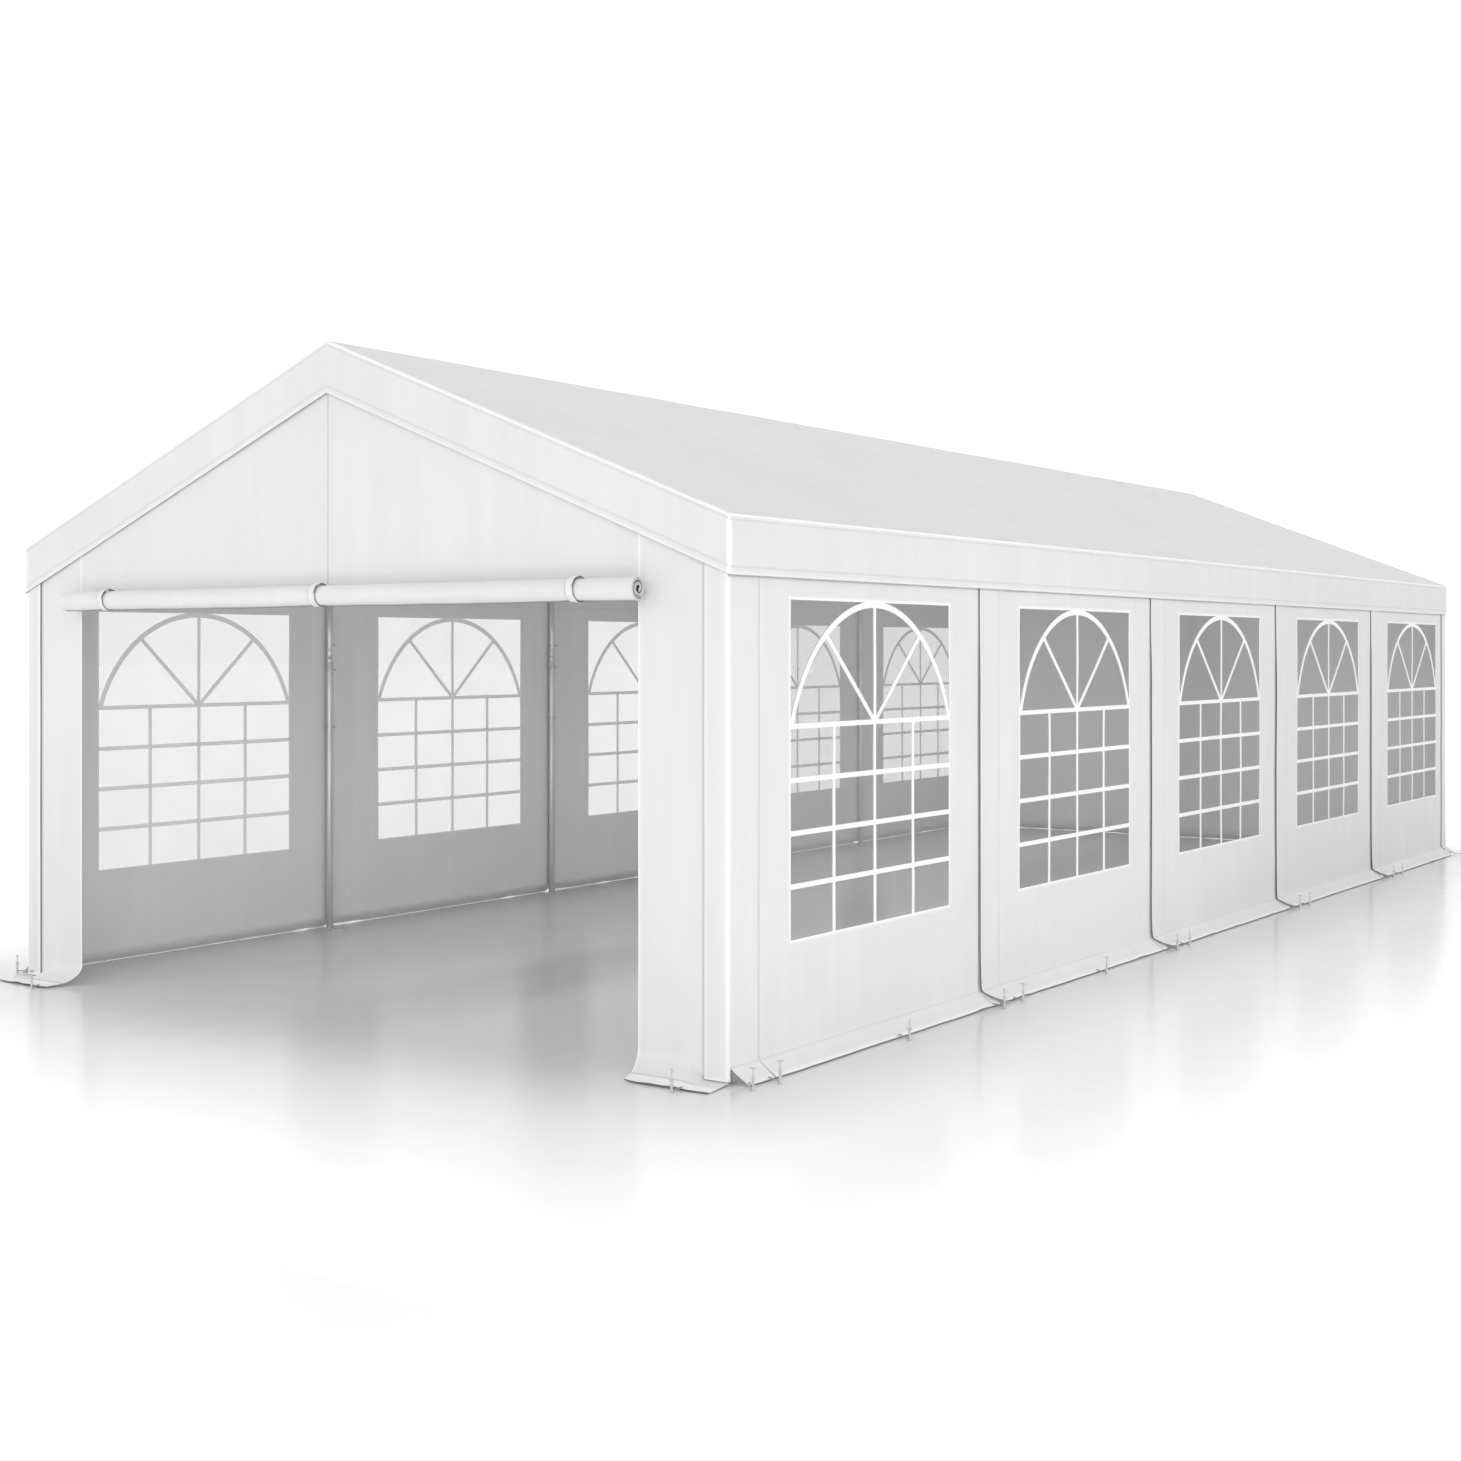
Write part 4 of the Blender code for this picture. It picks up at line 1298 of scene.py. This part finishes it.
class TENT_OT_door_roll(bpy.types.Operator):
    """The front door, folded in four and wound up under the gable"""

    bl_idname = "tent.door_roll"
    bl_label = "Rolled-up door"

    def execute(self, context):
        core, pitch, thickness = 0.0085, 0.0176, 0.0018
        turns = (ROLL_RADIUS - ROLL_FACES[0] - core) / pitch
        steps = int(turns * 26)
        start = math.radians(-60) - 2 * math.pi * turns

        def spiral(share, face, ahead=0.0):
            """Angle, radius, and whether other turns hide it."""
            wound = turns * share
            radius = core + pitch * wound
            hidden = face != ROLL_FACES[0] or wound < turns - 1.0
            return start + 2 * math.pi * wound + ahead / radius, radius + face, float(hidden)

        def fold(share, one, other, way):
            """A turned edge of the cloth, from one face to another."""
            middle, half = (one + other) / 2, (one - other) / 2
            turned = [math.pi * k / 5 for k in range(1, 5)]
            return [spiral(share, middle + half * math.cos(t), way * abs(half) * math.sin(t)) for t in turned]

        out, back = range(steps + 1), range(steps, -1, -1)
        first, second, third, fourth = ROLL_FACES
        path = [spiral(k / steps, first) for k in out] + fold(1.0, first, second, 1)
        path += [spiral(k / steps, second) for k in back] + fold(0.0, second, third, -1)
        path += [spiral(k / steps, third) for k in out] + fold(1.0, third, fourth, 1)
        path += [spiral(k / steps, fourth) for k in back]
        lengths = [0.0]
        for (a0, r0, _h0), (a1, r1, _h1) in zip(path, path[1:]):
            lengths.append(lengths[-1] + math.hypot(r1 * math.cos(a1) - r0 * math.cos(a0), r1 * math.sin(a1) - r0 * math.sin(a0)))
        xs = lines(-ROLL_HALF, ROLL_HALF, 0.045, (), (-ROLL_HALF, ROLL_HALF))
        where = {round(length, 6): place for length, place in zip(lengths, path)}

        def place(x, v):
            angle, radius, _hidden = where[round(v, 6)]
            slack = 0.0012 * wave(x, radius * math.cos(angle) * 3, radius * math.sin(angle) * 3, 0.18)
            pinch = sum(ridge(x - strap, 0.06) for strap in STRAPS) * 0.0025
            loose = radius / ROLL_RADIUS
            radius += loose * (slack - pinch - 0.0012)
            sag = -0.0015 * (1 - sum(ridge(x - strap, 0.3) for strap in STRAPS))
            point = (x, ROLL_Y + radius * math.cos(angle), ROLL_Z + sag + radius * math.sin(angle))
            return point, (0.0, math.cos(angle), math.sin(angle))

        def shadow(x, v):
            """Painted shadow between the turns, from just inside the ends, and along the underside; the cut ends are
            painted bright as a highlight.
            """
            angle, _radius, hidden = where[round(v, 6)]
            inside = smooth_ramp(ROLL_HALF - abs(x), 0.0002, 0.0012)
            painted_underside_shadow = 0.8 * (1.0 - hidden) * smooth_ramp(-math.sin(angle), 0.92, 0.99)
            return 0.0, inside * max(hidden, painted_underside_shadow) - (1.0 - inside)

        sheet = Sheet().add(xs, lengths, place, shadow, flip=False)
        piece = sheet.sew("rolled_door_cloth", cloth_finish(), thickness, inside=1.0)
        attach(piece, BODY)
        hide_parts("front_door_roll")
        return {"FINISHED"}


# A strap's woven edge lies in its own shadow against the roll
STRAP_TONES = ((0.0, 1.0), (0.0014, 0.9), (0.003, 0.15), (0.009, -0.2), (0.015, 0.0))


class TENT_OT_roll_straps(bpy.types.Operator):
    """Webbing loops that hold the rolled door, each with its overlapping tail"""

    bl_idname = "tent.roll_straps"
    bl_label = "Roll straps"

    def execute(self, context):
        for index, x in enumerate(STRAPS, start=1):
            self.make_strap(index, x)
        return {"FINISHED"}

    def make_strap(self, index, middle):
        half, thick = 0.018, 0.0026
        count = 96
        overlap = math.radians(50)
        path = []
        for k in range(count + 1):
            share = k / count
            angle = math.radians(120) + (2 * math.pi + overlap) * share
            loose = 0.0024 * smooth_ramp(share, 0.86, 0.93) + 0.0022 * ridge(share - 0.42, 0.10)
            path.append((angle, 0.0490 + loose + 0.0006 * math.sin(9 * angle)))
        across = lines(-half, half, 0.005, (), (-half, half))
        widths = {k: path[k] for k in range(count + 1)}
        tones = stitching(edges=[("u", -half, 1, -1, 999, STRAP_TONES), ("u", half, -1, -1, 999, STRAP_TONES)])

        def place(u, k):
            angle, radius = widths[round(k)]
            radius += 0.0003 - 0.0008 * smooth_ramp(abs(u), half - 0.004, half)
            point = (middle + u, ROLL_Y + radius * math.cos(angle), ROLL_Z + radius * math.sin(angle))
            return point, (0.0, math.cos(angle), math.sin(angle))

        sheet = Sheet().add(across, list(range(count + 1)), place, tones, flip=False)
        piece = sheet.sew(f"roll_strap_webbing_{index}", webbing_finish(), -thick)
        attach(piece, BODY)
        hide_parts(f"roll_strap_{index}")


# Steel frame


def slope_point(x, y, way, distance):
    """A point on a rafter's line, a distance down (+) or up (-) the slope from where it crosses x."""
    height = RIDGE_AXIS - RIDGE_RISE * abs(x)
    return Vector((x + way * distance * math.cos(SLOPE), y, height - distance * math.sin(SLOPE)))


def tube_between(shape, start, end, radius, sides=24, grooves=()):
    """A tube with rolled ends and, where given, a pressed groove at a distance from its start."""
    start, end = Vector(start), Vector(end)
    length = (end - start).length
    turn = 0.0015
    profile = [(0.0, radius - turn), (turn * 0.4, radius - turn * 0.4), (turn, radius)]
    for groove in grooves:
        dips = ((-0.006, 0.0), (-0.003, 0.0006), (0.0, 0.0009), (0.003, 0.0006), (0.006, 0.0))
        profile += [(groove + shift, radius - dip) for shift, dip in dips]
    profile += [(length - turn, radius), (length - turn * 0.4, radius - turn * 0.4), (length, radius - turn)]
    lathe(shape, start, end - start, profile, sides)


def sleeve_between(shape, start, end, radius, weld=False):
    """A fitting's sleeve: a short tube with a rolled lip at its open end and a weld where it branches."""
    start, end = Vector(start), Vector(end)
    length = (end - start).length
    inner = TUBE + 0.0002
    profile = [(0.0, inner), (0.0, radius - 0.0008), (0.0008, radius)]
    if weld:
        base = SLEEVE - 0.001
        profile = [(0.0, inner), (base, radius), (base + 0.001, radius + 0.0025), (base + 0.0035, radius + 0.0022)]
        profile += [(base + 0.006, radius)]
    profile += [(length - 0.004, radius), (length - 0.0035, radius + 0.0006), (length - 0.0008, radius + 0.0006)]
    profile += [(length, radius - 0.0006), (length, inner)]
    lathe(shape, start, end - start, profile, 24)


def hex_bolt(shape, centre, axis, across=0.0085):
    """A bolt head with its washer."""
    lathe(shape, centre, axis, [(0.0, 0.0105), (0.0014, 0.0105), (0.0016, 0.0100)], 20)
    lathe(shape, Vector(centre) + Vector(axis) * 0.0016, axis, [(0.0, across), (0.0045, across), (0.0055, across * 0.8)], 6)


def foot_plate(shape, way, y):
    """A rounded plate welded under a post, with a weld bead and two bolt heads."""
    near = 0.018 if y < -4.0 else 0.04
    far = 0.018 if y > 4.0 else 0.04
    xs = sorted((way * (FRAME_X - 0.075), way * (FRAME_X + 0.018)))
    corner, steps, thick = 0.010, 5, 0.005
    outline = []
    centres = ((xs[1], y + far), (xs[0], y + far), (xs[0], y - near), (xs[1], y - near))
    for quarter, (x, edge_y) in enumerate(centres):
        cx = x - corner if x == xs[1] else x + corner
        cy = edge_y - corner if edge_y == y + far else edge_y + corner
        for step in range(steps + 1):
            angle = math.pi / 2 * (quarter + step / steps)
            outline.append((cx + corner * math.cos(angle), cy + corner * math.sin(angle)))
    middle = Vector((sum(xs) / 2, y + (far - near) / 2))
    levels = ((0.0, 1.0), (thick - 0.001, 1.0), (thick, 0.985))
    rings = []
    for height, share in levels:
        rings.append([shape.verts.new((*(middle + (Vector(p) - middle) * share), height)) for p in outline])
    for ring, after in zip(rings, rings[1:]):
        for k in range(len(ring)):
            n = (k + 1) % len(ring)
            shape.faces.new([ring[k], ring[n], after[n], after[k]])
    shape.faces.new(rings[0][::-1])
    shape.faces.new(rings[-1])
    lathe(shape, (way * FRAME_X, y, thick), (0, 0, 1), [(0.0, TUBE + 0.004), (0.0025, TUBE + 0.003), (0.005, TUBE + 0.0002)], 24)
    bolt_x = way * (FRAME_X - 0.052)
    for bolt_y in (y - near + 0.014, y + far - 0.014) if near > 0.03 and far > 0.03 else (y,):
        hex_bolt(shape, (bolt_x, bolt_y, thick), (0, 0, 1), 0.0065)


class TENT_OT_frame_tubes(bpy.types.Operator):
    """Posts, rafters and beams of galvanised tube with their fittings"""

    bl_idname = "tent.frame_tubes"
    bl_label = "Frame tubes"

    def execute(self, context):
        for index, y in enumerate(FRAME_YS, start=1):
            for side, way in SIDES:
                self.make_post(f"{side}_{index}", way, y)
                self.make_rafter(f"{side}_{index}", way, y)
        for side, way in SIDES:
            self.make_eave(side, way)
        self.make_ridge()
        return {"FINISHED"}

    def keep(self, name, shape, node):
        piece = crisp(link_mesh(name, shape, steel_finish()))
        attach(piece, BODY)
        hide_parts(node)

    def make_post(self, label, way, y):
        shape = bmesh.new()
        top = EAVE_AXIS - SLEEVE_REACH - 0.0003
        joint = 1.52
        tube_between(shape, (way * FRAME_X, y, 0.0045), (way * FRAME_X, y, joint), TUBE, grooves=(1.07, joint - 0.03))
        tube_between(shape, (way * FRAME_X, y, joint - 0.002), (way * FRAME_X, y, top), TUBE - 0.0014, grooves=(0.05,))
        foot_plate(shape, way, y)
        self.keep(f"post_tube_{label}", shape, f"post_{label}")

    def make_rafter(self, label, way, y):
        shape = bmesh.new()
        top = slope_point(0.0, y, way, SLEEVE_REACH + 0.0003)
        low = slope_point(way * FRAME_X, y, way, -SLEEVE_REACH - 0.0003)
        tube_between(shape, top, low, TUBE, grooves=(0.95,))
        self.keep(f"rafter_tube_{label}", shape, f"rafter_{label}")

    def make_beam(self, shape, x, height):
        end = abs(FRAME_YS[0])
        tube_between(shape, (x, -end, height), (x, end, height), TUBE, grooves=tuple(range(2, 10, 2)))
        for y in FRAME_YS:
            low, high = max(y - SLEEVE_HALF, -FRAME_END), min(y + SLEEVE_HALF, FRAME_END)
            middle = (low + high) / 2
            sleeve_between(shape, (x, middle, height), (x, low, height), SLEEVE)
            sleeve_between(shape, (x, middle, height), (x, high, height), SLEEVE)

    def make_eave(self, side, way):
        shape = bmesh.new()
        x = way * FRAME_X
        self.make_beam(shape, x, EAVE_AXIS)
        for y in FRAME_YS:
            centre = Vector((x, y, EAVE_AXIS))
            sleeve_between(shape, centre, centre - Vector((0, 0, SLEEVE_REACH)), 0.021, weld=True)
            sleeve_between(shape, centre, slope_point(x, y, way, -SLEEVE_REACH), 0.021, weld=True)
        self.keep(f"eave_tube_{side}", shape, f"eave_beam_{side}")

    def make_ridge(self):
        shape = bmesh.new()
        self.make_beam(shape, 0.0, RIDGE_AXIS)
        for y in FRAME_YS:
            for _side, way in SIDES:
                centre = Vector((0.0, y, RIDGE_AXIS))
                sleeve_between(shape, centre, slope_point(0.0, y, way, SLEEVE_REACH), 0.021, weld=True)
        self.keep("ridge_tube", shape, "ridge_beam")


# Small fittings that repeat


def scatter_nodes(name, build):
    """Instances of one small shape on points, each turned by its point's own turn about Z."""
    tree = bpy.data.node_groups.new(name, "GeometryNodeTree")
    face = tree.interface
    face.new_socket("Geometry", in_out="INPUT", socket_type="NodeSocketGeometry")
    for size in ("Height", "Radius"):
        face.new_socket(size, in_out="INPUT", socket_type="NodeSocketFloat")
    face.new_socket("Finish", in_out="INPUT", socket_type="NodeSocketMaterial")
    face.new_socket("Geometry", in_out="OUTPUT", socket_type="NodeSocketGeometry")
    given = add_node(tree, "NodeGroupInput").outputs
    shape = build(tree, given)
    points = add_node(tree, "GeometryNodeMeshToPoints", {"Mesh": given["Geometry"]})
    turn = add_node(tree, "GeometryNodeInputNamedAttribute", {"Name": "turn"}, data_type="FLOAT_VECTOR")
    turned = add_node(
        tree, "FunctionNodeEulerToRotation", {"Euler": turn.outputs["Attribute"]}
    )
    placed = add_node(
        tree,
        "GeometryNodeInstanceOnPoints",
        {"Points": points.outputs[0], "Instance": shape, "Rotation": turned.outputs[0]},
    )
    real = add_node(tree, "GeometryNodeRealizeInstances", {"Geometry": placed.outputs[0]})
    smooth = add_node(tree, "GeometryNodeSetShadeSmooth", {"Geometry": real.outputs[0], "Shade Smooth": True})
    painted = add_node(
        tree, "GeometryNodeSetMaterial", {"Geometry": smooth.outputs[0], "Material": given["Finish"]}
    )
    add_node(tree, "NodeGroupOutput", {"Geometry": painted.outputs[0]})
    return tree


def times(tree, value, share):
    return add_node(tree, "ShaderNodeMath", {0: value, 1: share}, operation="MULTIPLY").outputs[0]


def rod(tree, radius, depth, place=(0, 0, 0), turn=(0, 0, 0), sides=10):
    """A cylinder for a node tree, moved and turned. Its middle stands at place."""
    made = add_node(
        tree, "GeometryNodeMeshCylinder", {"Vertices": sides, "Radius": radius, "Depth": depth}, fill_type="NGON"
    )
    return add_node(
        tree, "GeometryNodeTransform", {"Geometry": made.outputs["Mesh"], "Translation": place, "Rotation": turn}
    ).outputs[0]


def joined(tree, shapes):
    made = add_node(tree, "GeometryNodeJoinGeometry")
    for shape in shapes:
        tree.links.new(shape, made.inputs[0])
    return made.outputs[0]


def peg_shape(tree, given):
    """A ground peg's head: collar on the ground, thick pin, thinner neck, T-bar and two small hooks."""
    height, radius = given["Height"], given["Radius"]
    low = add_node(tree, "ShaderNodeCombineXYZ", {"Z": times(tree, height, 0.28)}).outputs[0]
    up = add_node(tree, "ShaderNodeCombineXYZ", {"Z": times(tree, height, 0.5)}).outputs[0]
    top = add_node(tree, "ShaderNodeCombineXYZ", {"Z": height}).outputs[0]
    hook = add_node(tree, "ShaderNodeCombineXYZ", {"Z": times(tree, height, 0.58)}).outputs[0]
    quarter = math.pi / 2
    return joined(
        tree,
        [
            rod(tree, times(tree, radius, 2.6), 0.0024, (0, 0, 0.0012), sides=16),
            rod(tree, times(tree, radius, 1.5), times(tree, height, 0.56), low, sides=12),
            rod(tree, times(tree, radius, 0.9), height, up),
            rod(tree, times(tree, radius, 0.8), 0.026, top, (0, quarter, 0)),
            rod(tree, times(tree, radius, 0.6), 0.020, hook, (0, quarter * 0.8, quarter)),
            rod(tree, times(tree, radius, 0.6), 0.020, hook, (0, -quarter * 0.8, quarter)),
        ],
    )


def screw_shape(tree, given):
    """A wing screw along +Z: shank, collar and two wings."""
    height, radius = given["Height"], given["Radius"]
    quarter = math.pi / 2
    wing = add_node(tree, "GeometryNodeMeshUVSphere", {"Segments": 12, "Rings": 8, "Radius": 1.0}).outputs["Mesh"]
    wings = [
        add_node(
            tree,
            "GeometryNodeTransform",
            {"Geometry": wing, "Translation": (way * 0.011, 0, 0.017), "Rotation": (0, way * 0.5, 0), "Scale": (0.012, 0.003, 0.009)},
        ).outputs[0]
        for way in (-1, 1)
    ]
    up = add_node(tree, "ShaderNodeCombineXYZ", {"Z": times(tree, height, 0.5)}).outputs[0]
    return joined(
        tree,
        [
            rod(tree, radius, height, up),
            rod(tree, times(tree, radius, 2.0), 0.006, (0, 0, 0.003), sides=6),
            rod(tree, times(tree, radius, 1.6), 0.005, (0, 0, 0.013), sides=14),
            *wings,
        ],
    )


def stub_shape(tree, given):
    """A bolt's far end along +Z with its nut."""
    height, radius = given["Height"], given["Radius"]
    up = add_node(tree, "ShaderNodeCombineXYZ", {"Z": times(tree, height, 0.5)}).outputs[0]
    return joined(tree, [rod(tree, radius, height, up), rod(tree, times(tree, radius, 2.2), 0.005, (0, 0, 0.003), sides=6)])


def scattered(name, tree, places, finish, height, radius):
    """One piece with a small fitting at each (point, turn)."""
    shape = bmesh.new()
    turn = shape.verts.layers.float_vector.new("turn")
    for point, angles in places:
        shape.verts.new(point)[turn] = Vector(angles)
    piece = grown(name, shape, tree, {"Height": height, "Radius": radius, "Finish": finish}, finish)
    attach(piece, BODY)
    return piece


class TENT_OT_wing_screws(bpy.types.Operator):
    """Wing screws that clamp the tubes in their fittings"""

    bl_idname = "tent.wing_screws"
    bl_label = "Wing screws"

    def execute(self, context):
        places, stubs = [], []
        quarter = math.pi / 2
        for y in FRAME_YS:
            for _side, way in SIDES:
                inward = (0.0, -way * quarter, 0.0)
                for height in (1.13, 1.45, 1.59):
                    radius = TUBE - (0.0016 if height > 1.5 else 0.0005)
                    places.append(((way * FRAME_X, y + radius * (1 if y < 4 else -1), height), (-quarter if y < 4 else quarter, 0.0, 0.0)))
                    if abs(y) < 4.0:
                        stubs.append(((way * FRAME_X, y - radius, height), (quarter, 0.0, 0.0)))
                places.append(((way * (FRAME_X - 0.0205), y, EAVE_AXIS - 0.07), inward))
                down = Vector((-way * math.sin(SLOPE), 0.0, -math.cos(SLOPE)))
                turn = (0.0, math.pi + way * SLOPE, 0.0)
                for point in (slope_point(0.0, y, way, 0.07), slope_point(way * FRAME_X, y, way, -0.07)):
                    places.append((point + down * 0.0205, turn))
        tree = scatter_nodes("Wing screws", screw_shape)
        scattered("wing_screws", tree, places, zinc_finish(), 0.018, 0.0035)
        scattered("bolt_ends", scatter_nodes("Bolt ends", stub_shape), stubs, zinc_finish(), 0.012, 0.004)
        return {"FINISHED"}


PEG_X = 2.128
PEG_ALONG = (-4.86, -3.88, -3.01, -2.82, -1.88, -0.95, -0.77, 1.07, 1.26, 3.1, 3.33)
PEG_ENDS = {-1: ((1.70, 5.205), (2.135, 4.96)), 1: ((1.90, 5.215), (2.115, 5.02))}

# An elastic loop from its eyelet round a peg: share of the way, and how far to the side
LOOP = ((0.0, 0.2), (0.3, 0.8), (0.7, 1.0), (0.95, 0.9), (1.06, 0.0), (0.95, -0.9), (0.7, -1.0), (0.3, -0.8), (0.0, -0.2))
LOOP_REST = 0.008


class TENT_OT_ground_pegs(bpy.types.Operator):
    """Ground pegs along the skirts, with the elastic loops that hold the skirts to them"""

    bl_idname = "tent.ground_pegs"
    bl_label = "Ground pegs"

    def execute(self, context):
        spots = []
        for _side, across in SIDES:
            for index, y in enumerate(PEG_ALONG):
                spots.append(((across * PEG_X, y, 0.0), (across * 2.066, y + 0.02, 0.014)))
            for end in (-1, 1):
                for x, y in PEG_ENDS[across]:
                    eyelet = (across * (x + 0.005), end * 5.155, 0.013) if y > 5.1 else (across * 2.064, end * (y - 0.055), 0.016)
                    spots.append(((across * x, end * y, 0.0), eyelet))
        places = [(spot, (0.0, 0.0, 0.7 * index)) for index, (spot, _eyelet) in enumerate(spots)]
        tree = scatter_nodes("Ground pegs", peg_shape)
        scattered("ground_pegs", tree, places, zinc_finish(), sizes().peg_height, sizes().peg_radius)
        self.make_loops(spots)
        return {"FINISHED"}

    def make_loops(self, spots):
        shape = bmesh.new()
        for (px, py, _pz), (ex, ey, ez) in spots:
            run = Vector((px - ex, py - ey, 0.0))
            side = Vector((-run.y, run.x, 0.0)).normalized() * 0.006
            points = []
            for share, out in LOOP:
                rise = Vector((0.0, 0.0, ez + (LOOP_REST - ez) * share))
                points.append(Vector((ex, ey, 0.0)) + run * share + side * out + rise)
            draw_path(shape, points)
        tree = cord_nodes("Elastic loops")
        piece = grown("elastic_loops", shape, tree, {"Radius": 0.0015, "Finish": elastic_finish()}, elastic_finish())
        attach(piece, BODY)


# Stage


class TENT_OT_stage(bpy.types.Operator):
    """Pale floor, soft studio light and the camera"""

    bl_idname = "tent.stage"
    bl_label = "Stage"

    def execute(self, context):
        scene = context.scene
        scene.view_settings.view_transform = "Standard"
        shape = bmesh.new()
        bmesh.ops.create_grid(shape, x_segments=1, y_segments=1, size=150.0)
        floor = link_mesh("studio_floor", shape, get_finish("painted studio floor", studio_floor))
        self.make_sky(scene)
        self.add_light("Key", (14.0, -14.0, 5.0), 6.0, 100.0)
        self.add_light("Fill", (-8.0, -18.0, 5.0), 6.0, 112.0)
        self.add_strip("Side strip", (4.2, -3.6, 0.32), (6.6, 0.35), 13.5, math.pi / 2)
        self.add_strip("Front strip", (0.2, -7.4, 0.32), (4.8, 0.35), 10.0, 0.0)
        for way in (-1, 1):
            self.add_strip("Inside", (way * 0.2, 0.0, 0.85), (9.0, 1.1), 15.5, -way * math.pi / 2)
        self.make_camera(scene)
        return {"FINISHED"}

    def make_sky(self, scene):
        """White all round at the horizon, a little dimmer overhead."""
        world = bpy.data.worlds.new("Studio")
        scene.world = world
        world.use_nodes = True
        tree = world.node_tree
        back = tree.nodes["Background"]
        way = add_node(tree, "ShaderNodeTexCoord").outputs["Generated"]
        height = add_node(tree, "ShaderNodeSeparateXYZ", {"Vector": way}).outputs["Z"]
        upper = add_node(
            tree, "ShaderNodeMapRange", {"Value": height, "From Min": 0.35, "From Max": 0.75, "To Min": 1.06, "To Max": 0.83}
        )
        lower = add_node(
            tree, "ShaderNodeMapRange", {"Value": height, "From Min": 0.04, "From Max": 0.2, "To Min": 0.15, "To Max": 0.0}
        )
        level = add_node(tree, "ShaderNodeMath", {0: upper.outputs[0], 1: lower.outputs[0]}, operation="ADD")
        tree.links.new(level.outputs[0], back.inputs["Strength"])
        back.inputs["Color"].default_value = (1.0, 1.0, 1.0, 1.0)

    def add_light(self, name, place, size, power):
        lamp = bpy.data.lights.new(name, "AREA")
        lamp.size = size
        lamp.energy = power
        light = bpy.data.objects.new(name, lamp)
        light.location = place
        light.visible_camera = light.visible_glossy = False
        aim = Vector((0.0, -1.0, 1.0)) - Vector(place)
        light.rotation_euler = aim.to_track_quat("-Z", "Y").to_euler()
        bpy.context.scene.collection.objects.link(light)

    def add_strip(self, name, place, lengths, power, turn):
        """A long low light that shines level: on the walls' feet, or inside, like daylight through the cloth."""
        lamp = bpy.data.lights.new(name, "AREA")
        lamp.shape = "RECTANGLE"
        lamp.size, lamp.size_y = lengths
        lamp.energy = power
        light = bpy.data.objects.new(name, lamp)
        light.location = place
        light.rotation_euler = (math.pi / 2, 0.0, turn)
        light.visible_camera = light.visible_glossy = False
        bpy.context.scene.collection.objects.link(light)

    def make_camera(self, scene):
        lens = bpy.data.cameras.new("Camera")
        lens.sensor_fit = "HORIZONTAL"
        lens.sensor_width = SENSOR
        lens.lens = SENSOR * FOCAL_PIXELS / FRAME_PIXELS
        lens.shift_x = (FRAME_PIXELS / 2 - CENTRE_PIXEL[0]) / FRAME_PIXELS
        lens.shift_y = (CENTRE_PIXEL[1] - FRAME_PIXELS / 2) / FRAME_PIXELS
        lens.clip_end = 400.0
        camera = bpy.data.objects.new("Camera", lens)
        camera.location = CAMERA_PLACE
        camera.rotation_euler = (math.pi / 2, 0.0, CAMERA_YAW)
        scene.collection.objects.link(camera)
        scene.camera = camera


OPERATORS = (
    TENT_OT_stage,
    TENT_OT_frame_tubes,
    TENT_OT_roof_cover,
    TENT_OT_gables,
    TENT_OT_side_panels,
    TENT_OT_windows,
    TENT_OT_roll_straps,
    TENT_OT_door_roll,
    TENT_OT_wing_screws,
    TENT_OT_ground_pegs,
)


class TENT_PT_pieces(bpy.types.Panel):
    """The tent's pieces, and the sizes and colours that can be changed before they are made."""

    bl_label = "Marquee tent"
    bl_idname = "TENT_PT_pieces"
    bl_space_type = "VIEW_3D"
    bl_region_type = "UI"
    bl_category = "Tent"

    def draw(self, context):
        for group in (context.scene.tent_sizes, context.scene.tent_colours):
            box = self.layout.box()
            for key in group.bl_rna.properties.keys():
                if key not in ("rna_type", "name"):
                    box.prop(group, key)
        for operator in OPERATORS:
            self.layout.operator(operator.bl_idname)


CLASSES = (TentSizes, TentColours, *OPERATORS, TENT_PT_pieces)


def register():
    for kind in CLASSES:
        bpy.utils.register_class(kind)
    bpy.types.Scene.tent_sizes = bpy.props.PointerProperty(type=TentSizes)
    bpy.types.Scene.tent_colours = bpy.props.PointerProperty(type=TentColours)


def unregister():
    del bpy.types.Scene.tent_colours
    del bpy.types.Scene.tent_sizes
    for kind in reversed(CLASSES):
        bpy.utils.unregister_class(kind)


def plain(bounds):
    """Bounds as lists of plain numbers."""
    return [[float(value) for value in corner] for corner in bounds]


def main():
    register()
    for operator in OPERATORS:
        group, name = operator.bl_idname.split(".")
        getattr(getattr(bpy.ops, group), name)()


if __name__ == "__main__":
    main()
